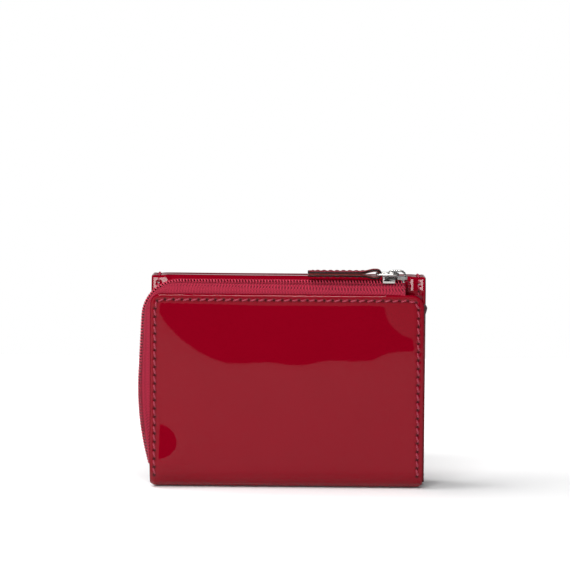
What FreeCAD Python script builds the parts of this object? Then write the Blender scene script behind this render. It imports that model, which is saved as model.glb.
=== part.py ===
import FreeCAD
import Part
import math
import os

# A compact patent-leather flap purse, standing closed on its bottom fold.
# Millimetres. +X runs along the width, +Y from the zip pocket towards the flap, +Z up.
# The origin is the middle of the flat of the bottom fold.

V = FreeCAD.Vector

# Driving dimensions
WIDTH = 115.0              # every leather panel
LEATHER = 1.2
BOARD = 0.5                # stiffener inside a panel
LINING = 0.4
TAPE = 0.4                 # woven zip tape
FIT = 0.3                  # clearance between pieces that move past each other
GAP = 0.1                  # clearance between pieces that are sewn or glued together

# Outer cover: zip pocket panel, bottom fold and front panel in one piece of leather
POCKET_FACE = -13.5        # y of the pocket panel's outer face
FRONT_FACE = 13.5          # y of the front panel's outer face
POCKET_TOP = 82.2
FRONT_TOP = 80.0
POCKET_BEND = 8.0          # outer radius of the bottom fold under the zip pocket
FRONT_BEND = 6.0           # outer radius of the bottom fold under the front panel
ZIP_CORNER = 4.5           # panel corner that the zip turns round
END_CORNER = 5.5           # panel corner at the closed end of the zip
FOOT_CORNER = 2.0

# Back panel, spine and flap: one strip of leather in three stretches
BACK_FACE = -3.1           # y of the back panel's face, towards the zip pocket
FLAP_FACE = 18.3           # y of the flap's outer face
SPINE_TOP = 88.9
STRIP_BEND = 5.0           # outer radius of the two creases, whose axes lie 1.2 mm inside the sharp corners
FLAP_END = 15.0            # z of the flap's free edge
FLAP_CORNER = 10.0

# Boards and linings stop short of the leather's edges
BOARD_INSET = 1.5
SPINE_BOARD_GAP = 0.5      # between the spine's board and the creases
COVER_LINING_INSET = 0.8
STRIP_LINING_INSET = 0.7
SHEET_CORNER = 3.0         # upper corners of boards, linings and the divider
FRONT_BOARD_CORNER = 4.0

# Zip chain: flat band of teeth along the ridge between the two half tapes
CHAIN_Y = -7.5
CHAIN_TOP = 88.1           # z of the teeth's upper side along the top run
TOOTH_HEIGHT = 1.1
TOOTH_REACH = 2.1          # from the middle of the chain to a tooth's root
TOOTH_OVERLAP = 0.4        # a tooth reaches this far past the middle
TOOTH_WIDTH = 0.5
TOOTH_PITCH = 1.27         # along one half; the two halves alternate
CHAIN_END = 48.0           # x of the last tooth, at the closed end
TAPE_END = 49.5
CHAIN_CORNER = 16.5
CHAIN_SIDE = -60.8         # x of the sharp corner of the teeth's outer line
CHAIN_BULGE = (-63.7, 29.0)  # where the side run stands out furthest
CHAIN_FOOT = (-57.6, 6.8)
TAPE_MARGIN = 4.0          # sewn-in margin of each half tape
TAPE_RIDGE = (0.15, 2.0)   # a half tape lies flat under the teeth between these reaches from the middle
TOP_STOP = (1.0, 1.6, 1.1)     # length, width, and distance of its middle from the chain's middle
BOTTOM_STOP = (1.6, 3.6, 1.0)  # length, width, height
BOTTOM_STOP_SHIFT = (-0.3, -1.05)  # in X and Z, from the last point under the chain
END_TAB = (1.4, 4.8, 4.2)      # length, width, height
END_TAB_LOW = 4.4          # from the top of the teeth to the tab's foot

# Slider, link and leather pull
SLIDER_BACK = 39.7
SLIDER_FRONT = 50.4
SLIDER_LIPS_END = 45.4
SLIDER_HALF = 3.4
PLATE_LOW = 88.5
PLATE_TOP = 89.6
SLIDER_NOSE_HALF = 2.4
SLIDER_CORNERS = (1.2, 1.5)    # radii at the ends and where the plate narrows
LIP_LOW = 86.9
LIP_WIDTH = 1.0
LIP_INSET = 0.6            # from the plate's ends
LIP_BURY = 0.5             # the lips run this far into the plate
INNER_PLATE = (3.2, 1.0, 85.0)  # width, thickness, low z, inside the pocket
INNER_PLATE_INSET = 1.0
ARCH = (41.6, 50.2, 92.5)  # back foot x, front foot x, top z
ARCH_LEAN = 0.4
ARCH_BEND = 2.2
ARCH_SECTION = (0.9, 2.4)  # thickness, width
WIRE = 1.2                 # link wire diameter
LINK_Z = 90.6
LINK_NEAR = 46.3           # x of the bar under the slider's arch
LINK_FAR = 37.5            # x of the bar in the pull's loop
LINK_HALF = 3.4            # from the middle to a side wire
LINK_CORNERS = (1.2, 2.0)  # radii at the far and near ends
PULL_END = 8.4
PULL_HALF = 3.8
PULL_NECK_HALF = 2.6
PULL_LAYER = 1.1
PULL_BORE_R = 1.0          # loop round the link's far bar
PULL_NECK = 4.5            # from the bar to where the flat strap ends
PULL_NECK_OVERLAP = 1.0
PULL_ROW_IN = 1.2          # from the strap's edges to its sewing
PULL_ROW_START = 6.0       # from the bar to the sewing

# Inside
COIN_WALL = -3.9           # y of the coin pocket's back lining, pocket side
DIVIDER = (3.6, 4.4)
DIVIDER_HALF = 50.0
DIVIDER_TOP = 80.0
SLOT_HALF = 49.5
SLOT_SHEET = 0.8
SLOT_TOPS = (76.0, 66.0, 56.0)
FLAP_SLOT_MOUTHS = (33.0, 43.0, 53.0)
FLAP_SLOT_TOP = 80.5
GUSSET_HEIGHT = 70.0
NOTE_GUSSET_IN = 1.0       # from the panels' ends to the folded walls' edges
NOTE_GUSSET_FOLD = 1.0     # from the divider's ends to the walls' folds
COIN_GUSSET_IN = 1.2
COIN_GUSSET_BOW = 2.5
COIN_GUSSET_LIFT = 0.2     # over the bottom fold

# Press stud
SNAP_Z = 26.0
STUD_KNOB_R = 2.0
SOCKET_BORE_R = 2.6
STUD_BASE = 0.5            # thickness
STUD_KNOB = 1.9            # height over its base
SOCKET_HEIGHT = 1.9
RIVET_HEAD = 0.45
RIVET_R = 4.0
RIVET_ROOM = 0.5           # between the rivet's head and the hole in the board
SNAP_R = 5.0
CAP_R = 6.0
CAP_RISE = 1.0
POST_R = 1.4
POST_HOLE_R = 1.5

# Sewing
STITCH_PITCH = 3.48
STITCH_GAP = 0.95
STITCH_WIDTH = 0.6
STITCH_RISE = 0.3
UNDER_FLAP_RISE = 0.24     # of the stitches that the flap lies on
POCKET_ROW = (1.9, 2.4, 2.5)   # from the pocket panel's left, right and top edges to its rows
FLAP_ROW = 3.0
SPINE_ROW = 3.0            # from the ends to the rows over the spine
SPINE_STITCHES = 7         # stitches in such a row: one, five and one on the three stretches

HALF = WIDTH / 2
CUT = 1.0                  # tools run this far past what they cut
FAR = 120.0                # larger than the purse
TINY = 1e-6
STRAIGHT = 0.01            # a stitch that drifts less than this lies on a flat stretch


def outline(corners, place, closed=True):
    """A wire through corners (u, v, radius), each rounded; place(u, v) gives the 3-D point."""
    count = len(corners)
    bends = []
    for i, (u, v, radius) in enumerate(corners):
        here = V(u, v, 0)
        if radius <= 0 or (not closed and i in (0, count - 1)):
            bends.append((here, None, here))
            continue
        before = V(*corners[i - 1][:2], 0) - here
        after = V(*corners[(i + 1) % count][:2], 0) - here
        before.normalize()
        after.normalize()
        half = before.getAngle(after) / 2
        reach = radius / math.tan(half)
        inward = before + after
        inward.normalize()
        middle = here + inward * (radius / math.sin(half) - radius)
        bends.append((here + before * reach, middle, here + after * reach))
    edges = []
    for i, (enter, middle, leave) in enumerate(bends):
        if middle is not None:
            points = [place(p.x, p.y) for p in (enter, middle, leave)]
            edges.append(Part.Arc(*points).toShape())
        if i + 1 < count or closed:
            target = bends[(i + 1) % count][0]
            if (target - leave).Length > TINY:
                straight = Part.LineSegment(place(leave.x, leave.y), place(target.x, target.y))
                edges.append(straight.toShape())
    return Part.Wire(edges)


def offset(path, distance):
    """An open path of (u, v, radius) moved sideways, with mitred corners."""
    moved = []
    last = len(path) - 1
    for i, (u, v, radius) in enumerate(path):
        normals = []
        for a, b in ((i - 1, i), (i, i + 1)):
            if a >= 0 and b <= last:
                along = V(path[b][0] - path[a][0], path[b][1] - path[a][1], 0)
                along.normalize()
                normals.append(V(along.y, -along.x, 0))
        mitre = normals[0] + normals[-1]
        mitre = mitre * (2 / mitre.dot(mitre))
        turn = normals[0].cross(normals[-1]).z
        grown = radius + distance * (1 if turn > 0 else -1) if radius > 0 else 0
        moved.append((u + mitre.x * distance, v + mitre.y * distance, grown))
    return moved


def band(path, low, high, place):
    """The closed wire between two offsets of an open path."""
    return outline(offset(path, high) + offset(path, low)[::-1], place)


def at_y(y):
    return lambda u, v: V(u, y, v)


def at_x(x):
    return lambda u, v: V(x, u, v)


def at_z(z):
    return lambda u, v: V(u, v, z)


def prism(wire, along):
    return Part.Face(wire).extrude(along)


def strip(path, low, high, half_width=HALF):
    """A bent sheet: a band of a path drawn in Y and Z, run along X."""
    return prism(band(path, low, high, at_x(-half_width)), V(2 * half_width, 0, 0))


def plate(x0, x1, z0, z1, y0, y1, radii=(0, 0, 0, 0)):
    """An upright plate; radii are those of the corners low-left, low-right, top-right, top-left."""
    corners = [(x0, z0, radii[0]), (x1, z0, radii[1]), (x1, z1, radii[2]), (x0, z1, radii[3])]
    return prism(outline(corners, at_y(y0)), V(0, y1 - y0, 0))


def disc(radius, y0, y1, x=0.0, z=SNAP_Z):
    return Part.makeCylinder(radius, y1 - y0, V(x, y0, z), V(0, 1, 0))


def bar(start, end, width, rise):
    """A straight bar from start to end, standing up by the vector rise."""
    side = rise.cross(end - start)
    side.normalize()
    side = side * (width / 2)
    corners = [start - side, end - side, end + side, start + side]
    return Part.Face(Part.makePolygon(corners + corners[:1])).extrude(rise)


def stitches(path, place, rise):
    """A row of thread stitches along an open path, lying on the surface."""
    wire = outline(path, place, closed=False)
    holes = wire.discretize(Number=int(wire.Length / STITCH_PITCH) + 1)
    rows = []
    for here, there in zip(holes, holes[1:]):
        along = there - here
        trim = along * (STITCH_GAP / 2 / along.Length)
        rows.append(bar(here + trim, there - trim, STITCH_WIDTH, rise))
    return rows


# The cover's section, from the pocket panel's top round the bottom to the front panel's top
COVER_PATH = [
    (POCKET_FACE, POCKET_TOP, 0),
    (POCKET_FACE, 0, POCKET_BEND),
    (FRONT_FACE, 0, FRONT_BEND),
    (FRONT_FACE, FRONT_TOP, 0),
]
POCKET_RADII = (FOOT_CORNER, FOOT_CORNER, END_CORNER, ZIP_CORNER)
FRONT_RADII = (FOOT_CORNER, FOOT_CORNER, END_CORNER, END_CORNER)
UNDER_BOARD = LEATHER + BOARD
UNDER_LINING = LEATHER + BOARD + LINING


def shaped(sheet, inset):
    """Round the upper corners of a sheet that follows the cover."""
    edge = HALF - inset
    pocket = plate(-edge, edge, 0, POCKET_TOP - inset, POCKET_FACE - CUT, 0, POCKET_RADII)
    front = plate(-edge, edge, 0, FRONT_TOP - inset, 0, FRONT_FACE + CUT, FRONT_RADII)
    return sheet.common(pocket.fuse(front).removeSplitter())


def outer_cover():
    cover = shaped(strip(COVER_PATH, -LEATHER, 0), 0)
    return cover.cut(disc(POST_HOLE_R, FRONT_FACE - LEATHER - CUT, FRONT_FACE + CUT))


def pocket_panel_stiffener():
    near = POCKET_FACE + LEATHER
    inset = TAPE_MARGIN + CUT
    return plate(-HALF + inset, HALF - BOARD_INSET, POCKET_BEND, POCKET_TOP - inset, near, near + BOARD,
                 (0, 0, SHEET_CORNER, SHEET_CORNER))


def base_stiffener():
    depth = FRONT_FACE - FRONT_BEND - POCKET_FACE - POCKET_BEND
    return Part.makeBox(WIDTH - 2 * BOARD_INSET, depth, BOARD,
                        V(-HALF + BOARD_INSET, POCKET_FACE + POCKET_BEND, LEATHER))


def front_panel_stiffener():
    far = FRONT_FACE - LEATHER
    edge = HALF - BOARD_INSET
    board = plate(-edge, edge, FRONT_BEND, FRONT_TOP - BOARD_INSET, far - BOARD, far,
                  (0, 0, FRONT_BOARD_CORNER, FRONT_BOARD_CORNER))
    return board.cut(disc(RIVET_R + RIVET_ROOM, far - BOARD - CUT, far + CUT))


def pocket_panel_lining():
    path = [COVER_PATH[0], COVER_PATH[1], (COIN_WALL - GAP, 0, 0)]
    return shaped(strip(path, -UNDER_LINING, -UNDER_BOARD), COVER_LINING_INSET)


def front_panel_lining():
    path = [(BACK_FACE + UNDER_LINING + GAP, 0, 0), COVER_PATH[2], COVER_PATH[3]]
    return shaped(strip(path, -UNDER_LINING, -UNDER_BOARD), COVER_LINING_INSET)


# Back panel, spine and flap
STRIP_FOOT = UNDER_BOARD + GAP / 2
STRETCH = 20.0             # the spine's section is drawn this far down before it is cut
BACK_CORNER = (BACK_FACE, SPINE_TOP, STRIP_BEND)
FLAP_CREST = (FLAP_FACE, SPINE_TOP, STRIP_BEND)
SPINE_MIDDLE = (BACK_FACE + FLAP_FACE) / 2
BACK_PATH = [(BACK_FACE, STRIP_FOOT, 0), BACK_CORNER, (SPINE_MIDDLE, SPINE_TOP, 0)]
SPINE_PATH = [(BACK_FACE, SPINE_TOP - STRETCH, 0), BACK_CORNER,
              FLAP_CREST, (FLAP_FACE, SPINE_TOP - STRETCH, 0)]
FLAP_PATH = [(SPINE_MIDDLE, SPINE_TOP, 0), FLAP_CREST, (FLAP_FACE, FLAP_END, 0)]


def wedge(corners):
    """A prism over the whole width, drawn in Y and Z."""
    return prism(outline([(y, z, 0) for y, z in corners], at_x(-FAR)), V(2 * FAR, 0, 0))


def back_stretch(sheet):
    y, z = BACK_FACE - GAP / 2, SPINE_TOP - GAP / 2
    return sheet.common(wedge([(y - FAR, z + FAR), (y + FAR, z - FAR), (y - FAR, z - FAR)]))


def spine_stretch(sheet):
    drop = (FLAP_FACE - BACK_FACE) / 2
    low = SPINE_TOP - drop + GAP
    reach = FAR + drop
    return sheet.common(wedge([(SPINE_MIDDLE, low), (SPINE_MIDDLE + reach, low + reach),
                               (SPINE_MIDDLE - reach, low + reach)]))


def flap_stretch(sheet):
    y, z = FLAP_FACE + GAP / 2, SPINE_TOP - GAP / 2
    return sheet.common(wedge([(y - FAR, z - FAR), (y + FAR, z - FAR), (y + FAR, z + FAR)]))


def flap_shaped(sheet, inset):
    edge = HALF - inset
    radius = FLAP_CORNER - inset
    whole = plate(-edge, edge, FLAP_END + inset, SPINE_TOP + CUT, 0, FLAP_FACE + CUT,
                  (radius, radius, 0, 0))
    return sheet.common(whole)


def back_panel():
    return back_stretch(strip(BACK_PATH, 0, LEATHER))


def back_panel_stiffener():
    near = BACK_FACE + LEATHER
    edge = HALF - BOARD_INSET
    return plate(-edge, edge, STRIP_FOOT, SPINE_TOP - STRIP_BEND, near, near + BOARD)


def note_pocket_lining():
    return back_stretch(strip(BACK_PATH, UNDER_BOARD, UNDER_LINING, HALF - STRIP_LINING_INSET))


def coin_pocket_back_lining():
    edge = HALF - COVER_LINING_INSET
    return plate(-edge, edge, STRIP_FOOT, POCKET_TOP - COVER_LINING_INSET,
                 COIN_WALL, COIN_WALL + LINING, (0, 0, SHEET_CORNER, SHEET_CORNER))


def spine_leather():
    return spine_stretch(strip(SPINE_PATH, 0, LEATHER))


def spine_stiffener():
    start = BACK_FACE + STRIP_BEND + SPINE_BOARD_GAP
    end = FLAP_FACE - STRIP_BEND - SPINE_BOARD_GAP
    return Part.makeBox(WIDTH - 2 * BOARD_INSET, end - start, BOARD,
                        V(-HALF + BOARD_INSET, start, SPINE_TOP - UNDER_BOARD))


def spine_lining():
    return spine_stretch(strip(SPINE_PATH, UNDER_BOARD, UNDER_LINING, HALF - STRIP_LINING_INSET))


def flap_leather():
    return flap_shaped(flap_stretch(strip(FLAP_PATH, 0, LEATHER)), 0).cut(flap_post_hole())


def flap_stiffener():
    far = FLAP_FACE - LEATHER
    edge = HALF - BOARD_INSET
    radius = FLAP_CORNER - BOARD_INSET
    board = plate(-edge, edge, FLAP_END + BOARD_INSET, SPINE_TOP - STRIP_BEND, far - BOARD, far,
                  (radius, radius, 0, 0))
    return board.cut(flap_post_hole())


def flap_lining():
    sheet = strip(FLAP_PATH, UNDER_BOARD, UNDER_LINING, HALF - STRIP_LINING_INSET)
    return flap_shaped(flap_stretch(sheet), STRIP_LINING_INSET).cut(flap_post_hole())


def flap_post_hole():
    return disc(POST_HOLE_R, FLAP_FACE - UNDER_LINING - CUT, FLAP_FACE + CUT)


# Inside the note pocket
def note_divider():
    return plate(-DIVIDER_HALF, DIVIDER_HALF, UNDER_LINING, DIVIDER_TOP, *DIVIDER,
                 (0, 0, SHEET_CORNER, SHEET_CORNER))


def card_slot(index):
    near = DIVIDER[1] + index * SLOT_SHEET
    return plate(-SLOT_HALF, SLOT_HALF, UNDER_LINING, SLOT_TOPS[index], near, near + SLOT_SHEET)


def flap_card_slot(index):
    far = FLAP_FACE - UNDER_LINING - index * SLOT_SHEET
    return plate(-SLOT_HALF, SLOT_HALF, FLAP_SLOT_MOUTHS[index], FLAP_SLOT_TOP, far - SLOT_SHEET, far)


def note_gusset(side):
    """A fabric wall folded inwards once, at one end of the note pocket."""
    edge = side * (HALF - NOTE_GUSSET_IN)
    fold = side * (DIVIDER_HALF + NOTE_GUSSET_FOLD)
    path = [(edge, BACK_FACE + UNDER_LINING + GAP, 0), (fold, sum(DIVIDER) / 2, 0),
            (edge, FRONT_FACE - UNDER_LINING - GAP, 0)]
    return prism(band(path, 0, LINING * side, at_z(FRONT_BEND)), V(0, 0, GUSSET_HEIGHT))


def coin_pocket_gusset():
    """A narrow wall bowed outwards at the closed end of the zip pocket."""
    near = POCKET_FACE + UNDER_LINING + GAP
    far = COIN_WALL - GAP
    foot = POCKET_BEND + COIN_GUSSET_LIFT
    middle = (near + far) / 2
    edge = HALF - COIN_GUSSET_IN
    bow = COIN_GUSSET_BOW
    outer = Part.Arc(V(edge, near, foot), V(edge + bow, middle, foot), V(edge, far, foot)).toShape()
    inner = Part.Arc(V(edge - BOARD, far, foot), V(edge + bow - BOARD, middle, foot),
                     V(edge - BOARD, near, foot)).toShape()
    ends = [Part.LineSegment(V(edge, far, foot), V(edge - BOARD, far, foot)).toShape(),
            Part.LineSegment(V(edge - BOARD, near, foot), V(edge, near, foot)).toShape()]
    return prism(Part.Wire([outer, ends[0], inner, ends[1]]), V(0, 0, GUSSET_HEIGHT))


# Zip: paths are drawn in X and Z, from the closed end over the top and down the side
CHAIN_PATH = [(TAPE_END, CHAIN_TOP, 0), (CHAIN_SIDE, CHAIN_TOP, CHAIN_CORNER),
              (*CHAIN_BULGE, 0), (*CHAIN_FOOT, 0)]
EDGE_PATH = [(TAPE_END, POCKET_TOP, 0), (-HALF, POCKET_TOP, ZIP_CORNER),
             (-HALF, CHAIN_BULGE[1], 0), (-HALF, POCKET_BEND + FIT, 0)]


def half_tape(side):
    """One half tape: flat under the teeth, slanting to the panel's edge, with a sewn-in margin."""
    seam = POCKET_FACE + LEATHER + TAPE if side < 0 else BACK_FACE - TAPE
    ridge = [band(CHAIN_PATH, -TOOTH_HEIGHT - TAPE, -TOOTH_HEIGHT, at_y(CHAIN_Y + side * reach))
             for reach in TAPE_RIDGE]
    edge = band(EDGE_PATH, -TAPE, 0, at_y(seam))
    roof = Part.makeLoft(ridge + [edge], True, True)
    margin = prism(band(EDGE_PATH, -TAPE_MARGIN, 0, at_y(seam)), V(0, side * TAPE, 0))
    return roof.fuse(margin).removeSplitter()


def zip_teeth(side):
    """The teeth of one half; the two halves alternate along the chain."""
    toothed = [(CHAIN_END, CHAIN_TOP, 0)] + CHAIN_PATH[1:]
    base = outline(offset(toothed, -TOOTH_HEIGHT), at_y(CHAIN_Y), closed=False)
    marks = base.discretize(Number=2 * int(base.Length / TOOTH_PITCH) + 1)
    teeth = []
    for i in range(1 if side < 0 else 2, len(marks) - 1, 2):
        along = marks[i + 1] - marks[i - 1]
        along.normalize()
        out = V(along.z, 0, -along.x)
        start = marks[i] - V(0, side * TOOTH_OVERLAP, 0)
        end = marks[i] + V(0, side * TOOTH_REACH, 0)
        teeth.append(bar(start, end, TOOTH_WIDTH, out * TOOTH_HEIGHT))
    return Part.makeCompound(teeth)


def zip_top_stops():
    length, width, middle = TOP_STOP
    low = CHAIN_TOP - TOOTH_HEIGHT
    return Part.makeCompound([
        Part.makeBox(length, width, TOOTH_HEIGHT, V(CHAIN_END + FIT, CHAIN_Y + shift - width / 2, low))
        for shift in (-middle, middle)])


def zip_bottom_stop():
    x, z = offset(CHAIN_PATH, -TOOTH_HEIGHT)[-1][:2]
    length, width, height = BOTTOM_STOP
    corner = V(x + BOTTOM_STOP_SHIFT[0], CHAIN_Y - width / 2, z + BOTTOM_STOP_SHIFT[1])
    return Part.makeBox(length, width, height, corner)


def zip_end_tab():
    """A fold of tape sewn over the two tape ends."""
    length, width, height = END_TAB
    corner = V(TAPE_END + GAP, CHAIN_Y - width / 2, CHAIN_TOP - END_TAB_LOW)
    return Part.makeBox(length, width, height, corner)


# Slider, link and pull
def slider_body():
    end, waist = SLIDER_CORNERS
    half = [(SLIDER_BACK, SLIDER_HALF, end), (SLIDER_LIPS_END, SLIDER_HALF, waist),
            (SLIDER_FRONT, SLIDER_NOSE_HALF, end)]
    corners = [(x, CHAIN_Y - reach, radius) for x, reach, radius in half]
    corners += [(x, CHAIN_Y + reach, radius) for x, reach, radius in half[::-1]]
    upper = prism(outline(corners, at_z(PLATE_LOW)), V(0, 0, PLATE_TOP - PLATE_LOW))
    length = SLIDER_LIPS_END - SLIDER_BACK - 2 * LIP_INSET
    for side in (-1, 1):
        low = CHAIN_Y + side * (SLIDER_HALF - LIP_WIDTH / 2) - LIP_WIDTH / 2
        upper = upper.fuse(Part.makeBox(length, LIP_WIDTH, PLATE_LOW - LIP_LOW + LIP_BURY,
                                        V(SLIDER_BACK + LIP_INSET, low, LIP_LOW)))
    width, thickness, foot = INNER_PLATE
    lower = Part.makeBox(SLIDER_FRONT - SLIDER_BACK - 2 * INNER_PLATE_INSET, width, thickness,
                         V(SLIDER_BACK + INNER_PLATE_INSET, CHAIN_Y - width / 2, foot))
    return Part.makeCompound([upper.removeSplitter(), lower])


def slider_bridge():
    back, front, top = ARCH
    path = [(back, PLATE_TOP, 0), (back + ARCH_LEAN, top, ARCH_BEND),
            (front - ARCH_LEAN, top, ARCH_BEND), (front, PLATE_TOP, 0)]
    thickness, width = ARCH_SECTION
    arch = prism(band(path, 0, thickness, at_y(CHAIN_Y - width / 2)), V(0, width, 0))
    return arch.common(Part.makeBox(FAR, FAR, top, V(0, -FAR / 2, PLATE_TOP)))


def pull_link():
    far, near = LINK_CORNERS
    corners = [(LINK_FAR, CHAIN_Y - LINK_HALF, far), (LINK_NEAR, CHAIN_Y - LINK_HALF, near),
               (LINK_NEAR, CHAIN_Y + LINK_HALF, near), (LINK_FAR, CHAIN_Y + LINK_HALF, far)]
    route = outline(corners, at_z(LINK_Z))
    start = V(LINK_FAR + far, CHAIN_Y - LINK_HALF, LINK_Z)
    section = Part.Wire([Part.makeCircle(WIRE / 2, start, V(1, 0, 0))])
    return route.makePipeShell([section], True, True)


def pull_tab_leather():
    """A strap folded round the link's far bar and sewn to itself."""
    neck_end = LINK_FAR - PULL_NECK
    start = neck_end - PULL_NECK_OVERLAP
    loop_r = PULL_BORE_R + PULL_LAYER
    half_y = PULL_NECK_HALF
    flat = Part.makeBox(neck_end - PULL_END, 2 * PULL_HALF, 2 * PULL_LAYER,
                        V(PULL_END, CHAIN_Y - PULL_HALF, LINK_Z - PULL_LAYER))
    taper = [(start, LINK_Z - PULL_LAYER, 0), (LINK_FAR, LINK_Z - loop_r, 0),
             (LINK_FAR, LINK_Z + loop_r, 0), (start, LINK_Z + PULL_LAYER, 0)]
    neck = prism(outline(taper, at_y(CHAIN_Y - half_y)), V(0, 2 * half_y, 0))
    loop = Part.makeCylinder(loop_r, 2 * half_y, V(LINK_FAR, CHAIN_Y - half_y, LINK_Z), V(0, 1, 0))
    bore = Part.makeCylinder(PULL_BORE_R, 4 * half_y, V(LINK_FAR, CHAIN_Y - 2 * half_y, LINK_Z),
                             V(0, 1, 0))
    return flat.fuse([neck, loop]).cut(bore).removeSplitter()


def pull_tab_stitching():
    start, turn = LINK_FAR - PULL_ROW_START, PULL_END + PULL_ROW_IN
    half = PULL_HALF - PULL_ROW_IN
    path = [(start, CHAIN_Y - half, 0), (turn, CHAIN_Y - half, 0),
            (turn, CHAIN_Y + half, 0), (start, CHAIN_Y + half, 0)]
    return Part.makeCompound(stitches(path, at_z(LINK_Z + PULL_LAYER), V(0, 0, STITCH_RISE)))


# Press stud
def snap_stud():
    top = FRONT_FACE + STUD_BASE
    base = disc(SNAP_R, FRONT_FACE, top)
    knob = disc(STUD_KNOB_R, top, top + STUD_KNOB)
    return base.fuse(knob).removeSplitter()


def snap_stud_rivet():
    inner = FRONT_FACE - LEATHER
    head = disc(RIVET_R, inner - RIVET_HEAD, inner)
    return head.fuse(disc(POST_R, inner, FRONT_FACE)).removeSplitter()


def snap_socket():
    far = FLAP_FACE - UNDER_LINING
    near = far - SOCKET_HEIGHT
    return disc(SNAP_R, near, far).cut(disc(SOCKET_BORE_R, near - CUT, far + CUT))


def snap_cap():
    """A low dome on the flap's face, with its post through the flap."""
    ball = (CAP_R ** 2 + CAP_RISE ** 2) / (2 * CAP_RISE)
    dome = Part.makeSphere(ball, V(0, FLAP_FACE + CAP_RISE - ball, SNAP_Z))
    dome = dome.common(disc(CAP_R + CUT, FLAP_FACE, FLAP_FACE + CAP_RISE + CUT))
    post = disc(POST_R, FLAP_FACE - UNDER_LINING, FLAP_FACE)
    return dome.fuse(post)


# Sewing
def cover_stitching():
    left, right, top = POCKET_ROW
    foot = POCKET_BEND
    pocket = [(-HALF + left, foot, 0), (-HALF + left, POCKET_TOP - top, ZIP_CORNER - left),
              (HALF - right, POCKET_TOP - top, END_CORNER - right), (HALF - right, foot, 0)]
    front = [(-HALF + left, foot, 0), (-HALF + left, FRONT_TOP - top, END_CORNER - left),
             (HALF - left, FRONT_TOP - top, END_CORNER - left), (HALF - left, foot, 0)]
    rows = stitches(pocket, at_y(POCKET_FACE), V(0, -STITCH_RISE, 0))
    rows += stitches(front, at_y(FRONT_FACE), V(0, UNDER_FLAP_RISE, 0))
    return Part.makeCompound(rows)


def crease_stitching():
    """Rows over the spine near both ends: the stitches of the back panel, the spine and the flap."""
    groups = ([], [], [])
    foot = SPINE_TOP - STRIP_BEND
    path = [(BACK_FACE, foot, 0), BACK_CORNER, FLAP_CREST, (FLAP_FACE, foot, 0)]
    for x in (-HALF + SPINE_ROW, HALF - SPINE_ROW):
        holes = outline(path, at_x(x), closed=False).discretize(Number=SPINE_STITCHES + 1)
        for i, (here, there) in enumerate(zip(holes, holes[1:])):
            along = there - here
            bent = min(abs(along.y), abs(along.z)) > STRAIGHT
            sag = STRIP_BEND - math.sqrt(STRIP_BEND ** 2 - along.Length ** 2 / 4) if bent else 0
            out = V(1, 0, 0).cross(along)
            out.normalize()
            trim = along * (STITCH_GAP / 2 / along.Length)
            start, end = here + trim + out * sag, there - trim + out * sag
            stretch = 0 if i == 0 else 2 if i == SPINE_STITCHES - 1 else 1
            groups[stretch].append(bar(start, end, STITCH_WIDTH, out * STITCH_RISE))
    return groups


def flap_stitching():
    side = HALF - FLAP_ROW
    top, low = SPINE_TOP - STRIP_BEND, FLAP_END + FLAP_ROW
    radius = FLAP_CORNER - FLAP_ROW
    path = [(-side, top, 0), (-side, low, radius), (side, low, radius), (side, top, 0)]
    return stitches(path, at_y(FLAP_FACE), V(0, STITCH_RISE, 0))


BACK_ROWS, SPINE_ROWS, FLAP_ROWS = crease_stitching()

NODES = {
    "outer_cover": outer_cover(),
    "pocket_panel_stiffener": pocket_panel_stiffener(),
    "pocket_panel_lining": pocket_panel_lining(),
    "base_stiffener": base_stiffener(),
    "front_panel_stiffener": front_panel_stiffener(),
    "front_panel_lining": front_panel_lining(),
    "back_panel": back_panel(),
    "back_panel_stiffener": back_panel_stiffener(),
    "coin_pocket_back_lining": coin_pocket_back_lining(),
    "note_pocket_lining": note_pocket_lining(),
    "coin_pocket_gusset": coin_pocket_gusset(),
    "note_gusset_left": note_gusset(-1),
    "note_gusset_right": note_gusset(1),
    "note_divider": note_divider(),
    "zip_tape_outer": half_tape(-1),
    "zip_tape_inner": half_tape(1),
    "zip_teeth_outer": zip_teeth(-1),
    "zip_teeth_inner": zip_teeth(1),
    "zip_top_stops": zip_top_stops(),
    "zip_bottom_stop": zip_bottom_stop(),
    "zip_end_tab": zip_end_tab(),
    "snap_stud": snap_stud(),
    "snap_stud_rivet": snap_stud_rivet(),
    "cover_stitching": cover_stitching(),
    "back_panel_stitching": Part.makeCompound(BACK_ROWS),
    "spine_leather": spine_leather(),
    "spine_stiffener": spine_stiffener(),
    "spine_lining": spine_lining(),
    "spine_stitching": Part.makeCompound(SPINE_ROWS),
    "flap_leather": flap_leather(),
    "flap_stiffener": flap_stiffener(),
    "flap_lining": flap_lining(),
    "snap_socket": snap_socket(),
    "snap_cap": snap_cap(),
    "flap_stitching": Part.makeCompound(FLAP_ROWS + flap_stitching()),
    "slider_body": slider_body(),
    "slider_bridge": slider_bridge(),
    "pull_link": pull_link(),
    "pull_tab_leather": pull_tab_leather(),
    "pull_tab_stitching": pull_tab_stitching(),
}
for number in range(3):
    NODES[f"card_slot_{number + 1}"] = card_slot(number)
    NODES[f"flap_card_slot_{number + 1}"] = flap_card_slot(number)

os.makedirs("parts", exist_ok=True)
for name, shape in NODES.items():
    box = shape.BoundBox
    print(f"{name:26s} {len(shape.Solids):4d} solids {shape.Volume:10.1f} mm3 valid {shape.isValid()} "
          f"x {box.XMin:7.2f} {box.XMax:7.2f} y {box.YMin:7.2f} {box.YMax:7.2f} "
          f"z {box.ZMin:7.2f} {box.ZMax:7.2f}")
    shape.exportStep(f"parts/{name}.step")
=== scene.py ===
"""Looks of a compact patent-leather flap wallet, built round its CAD frame."""
import math

import bmesh
import bpy
import numpy as np
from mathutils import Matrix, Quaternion, Vector


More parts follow.
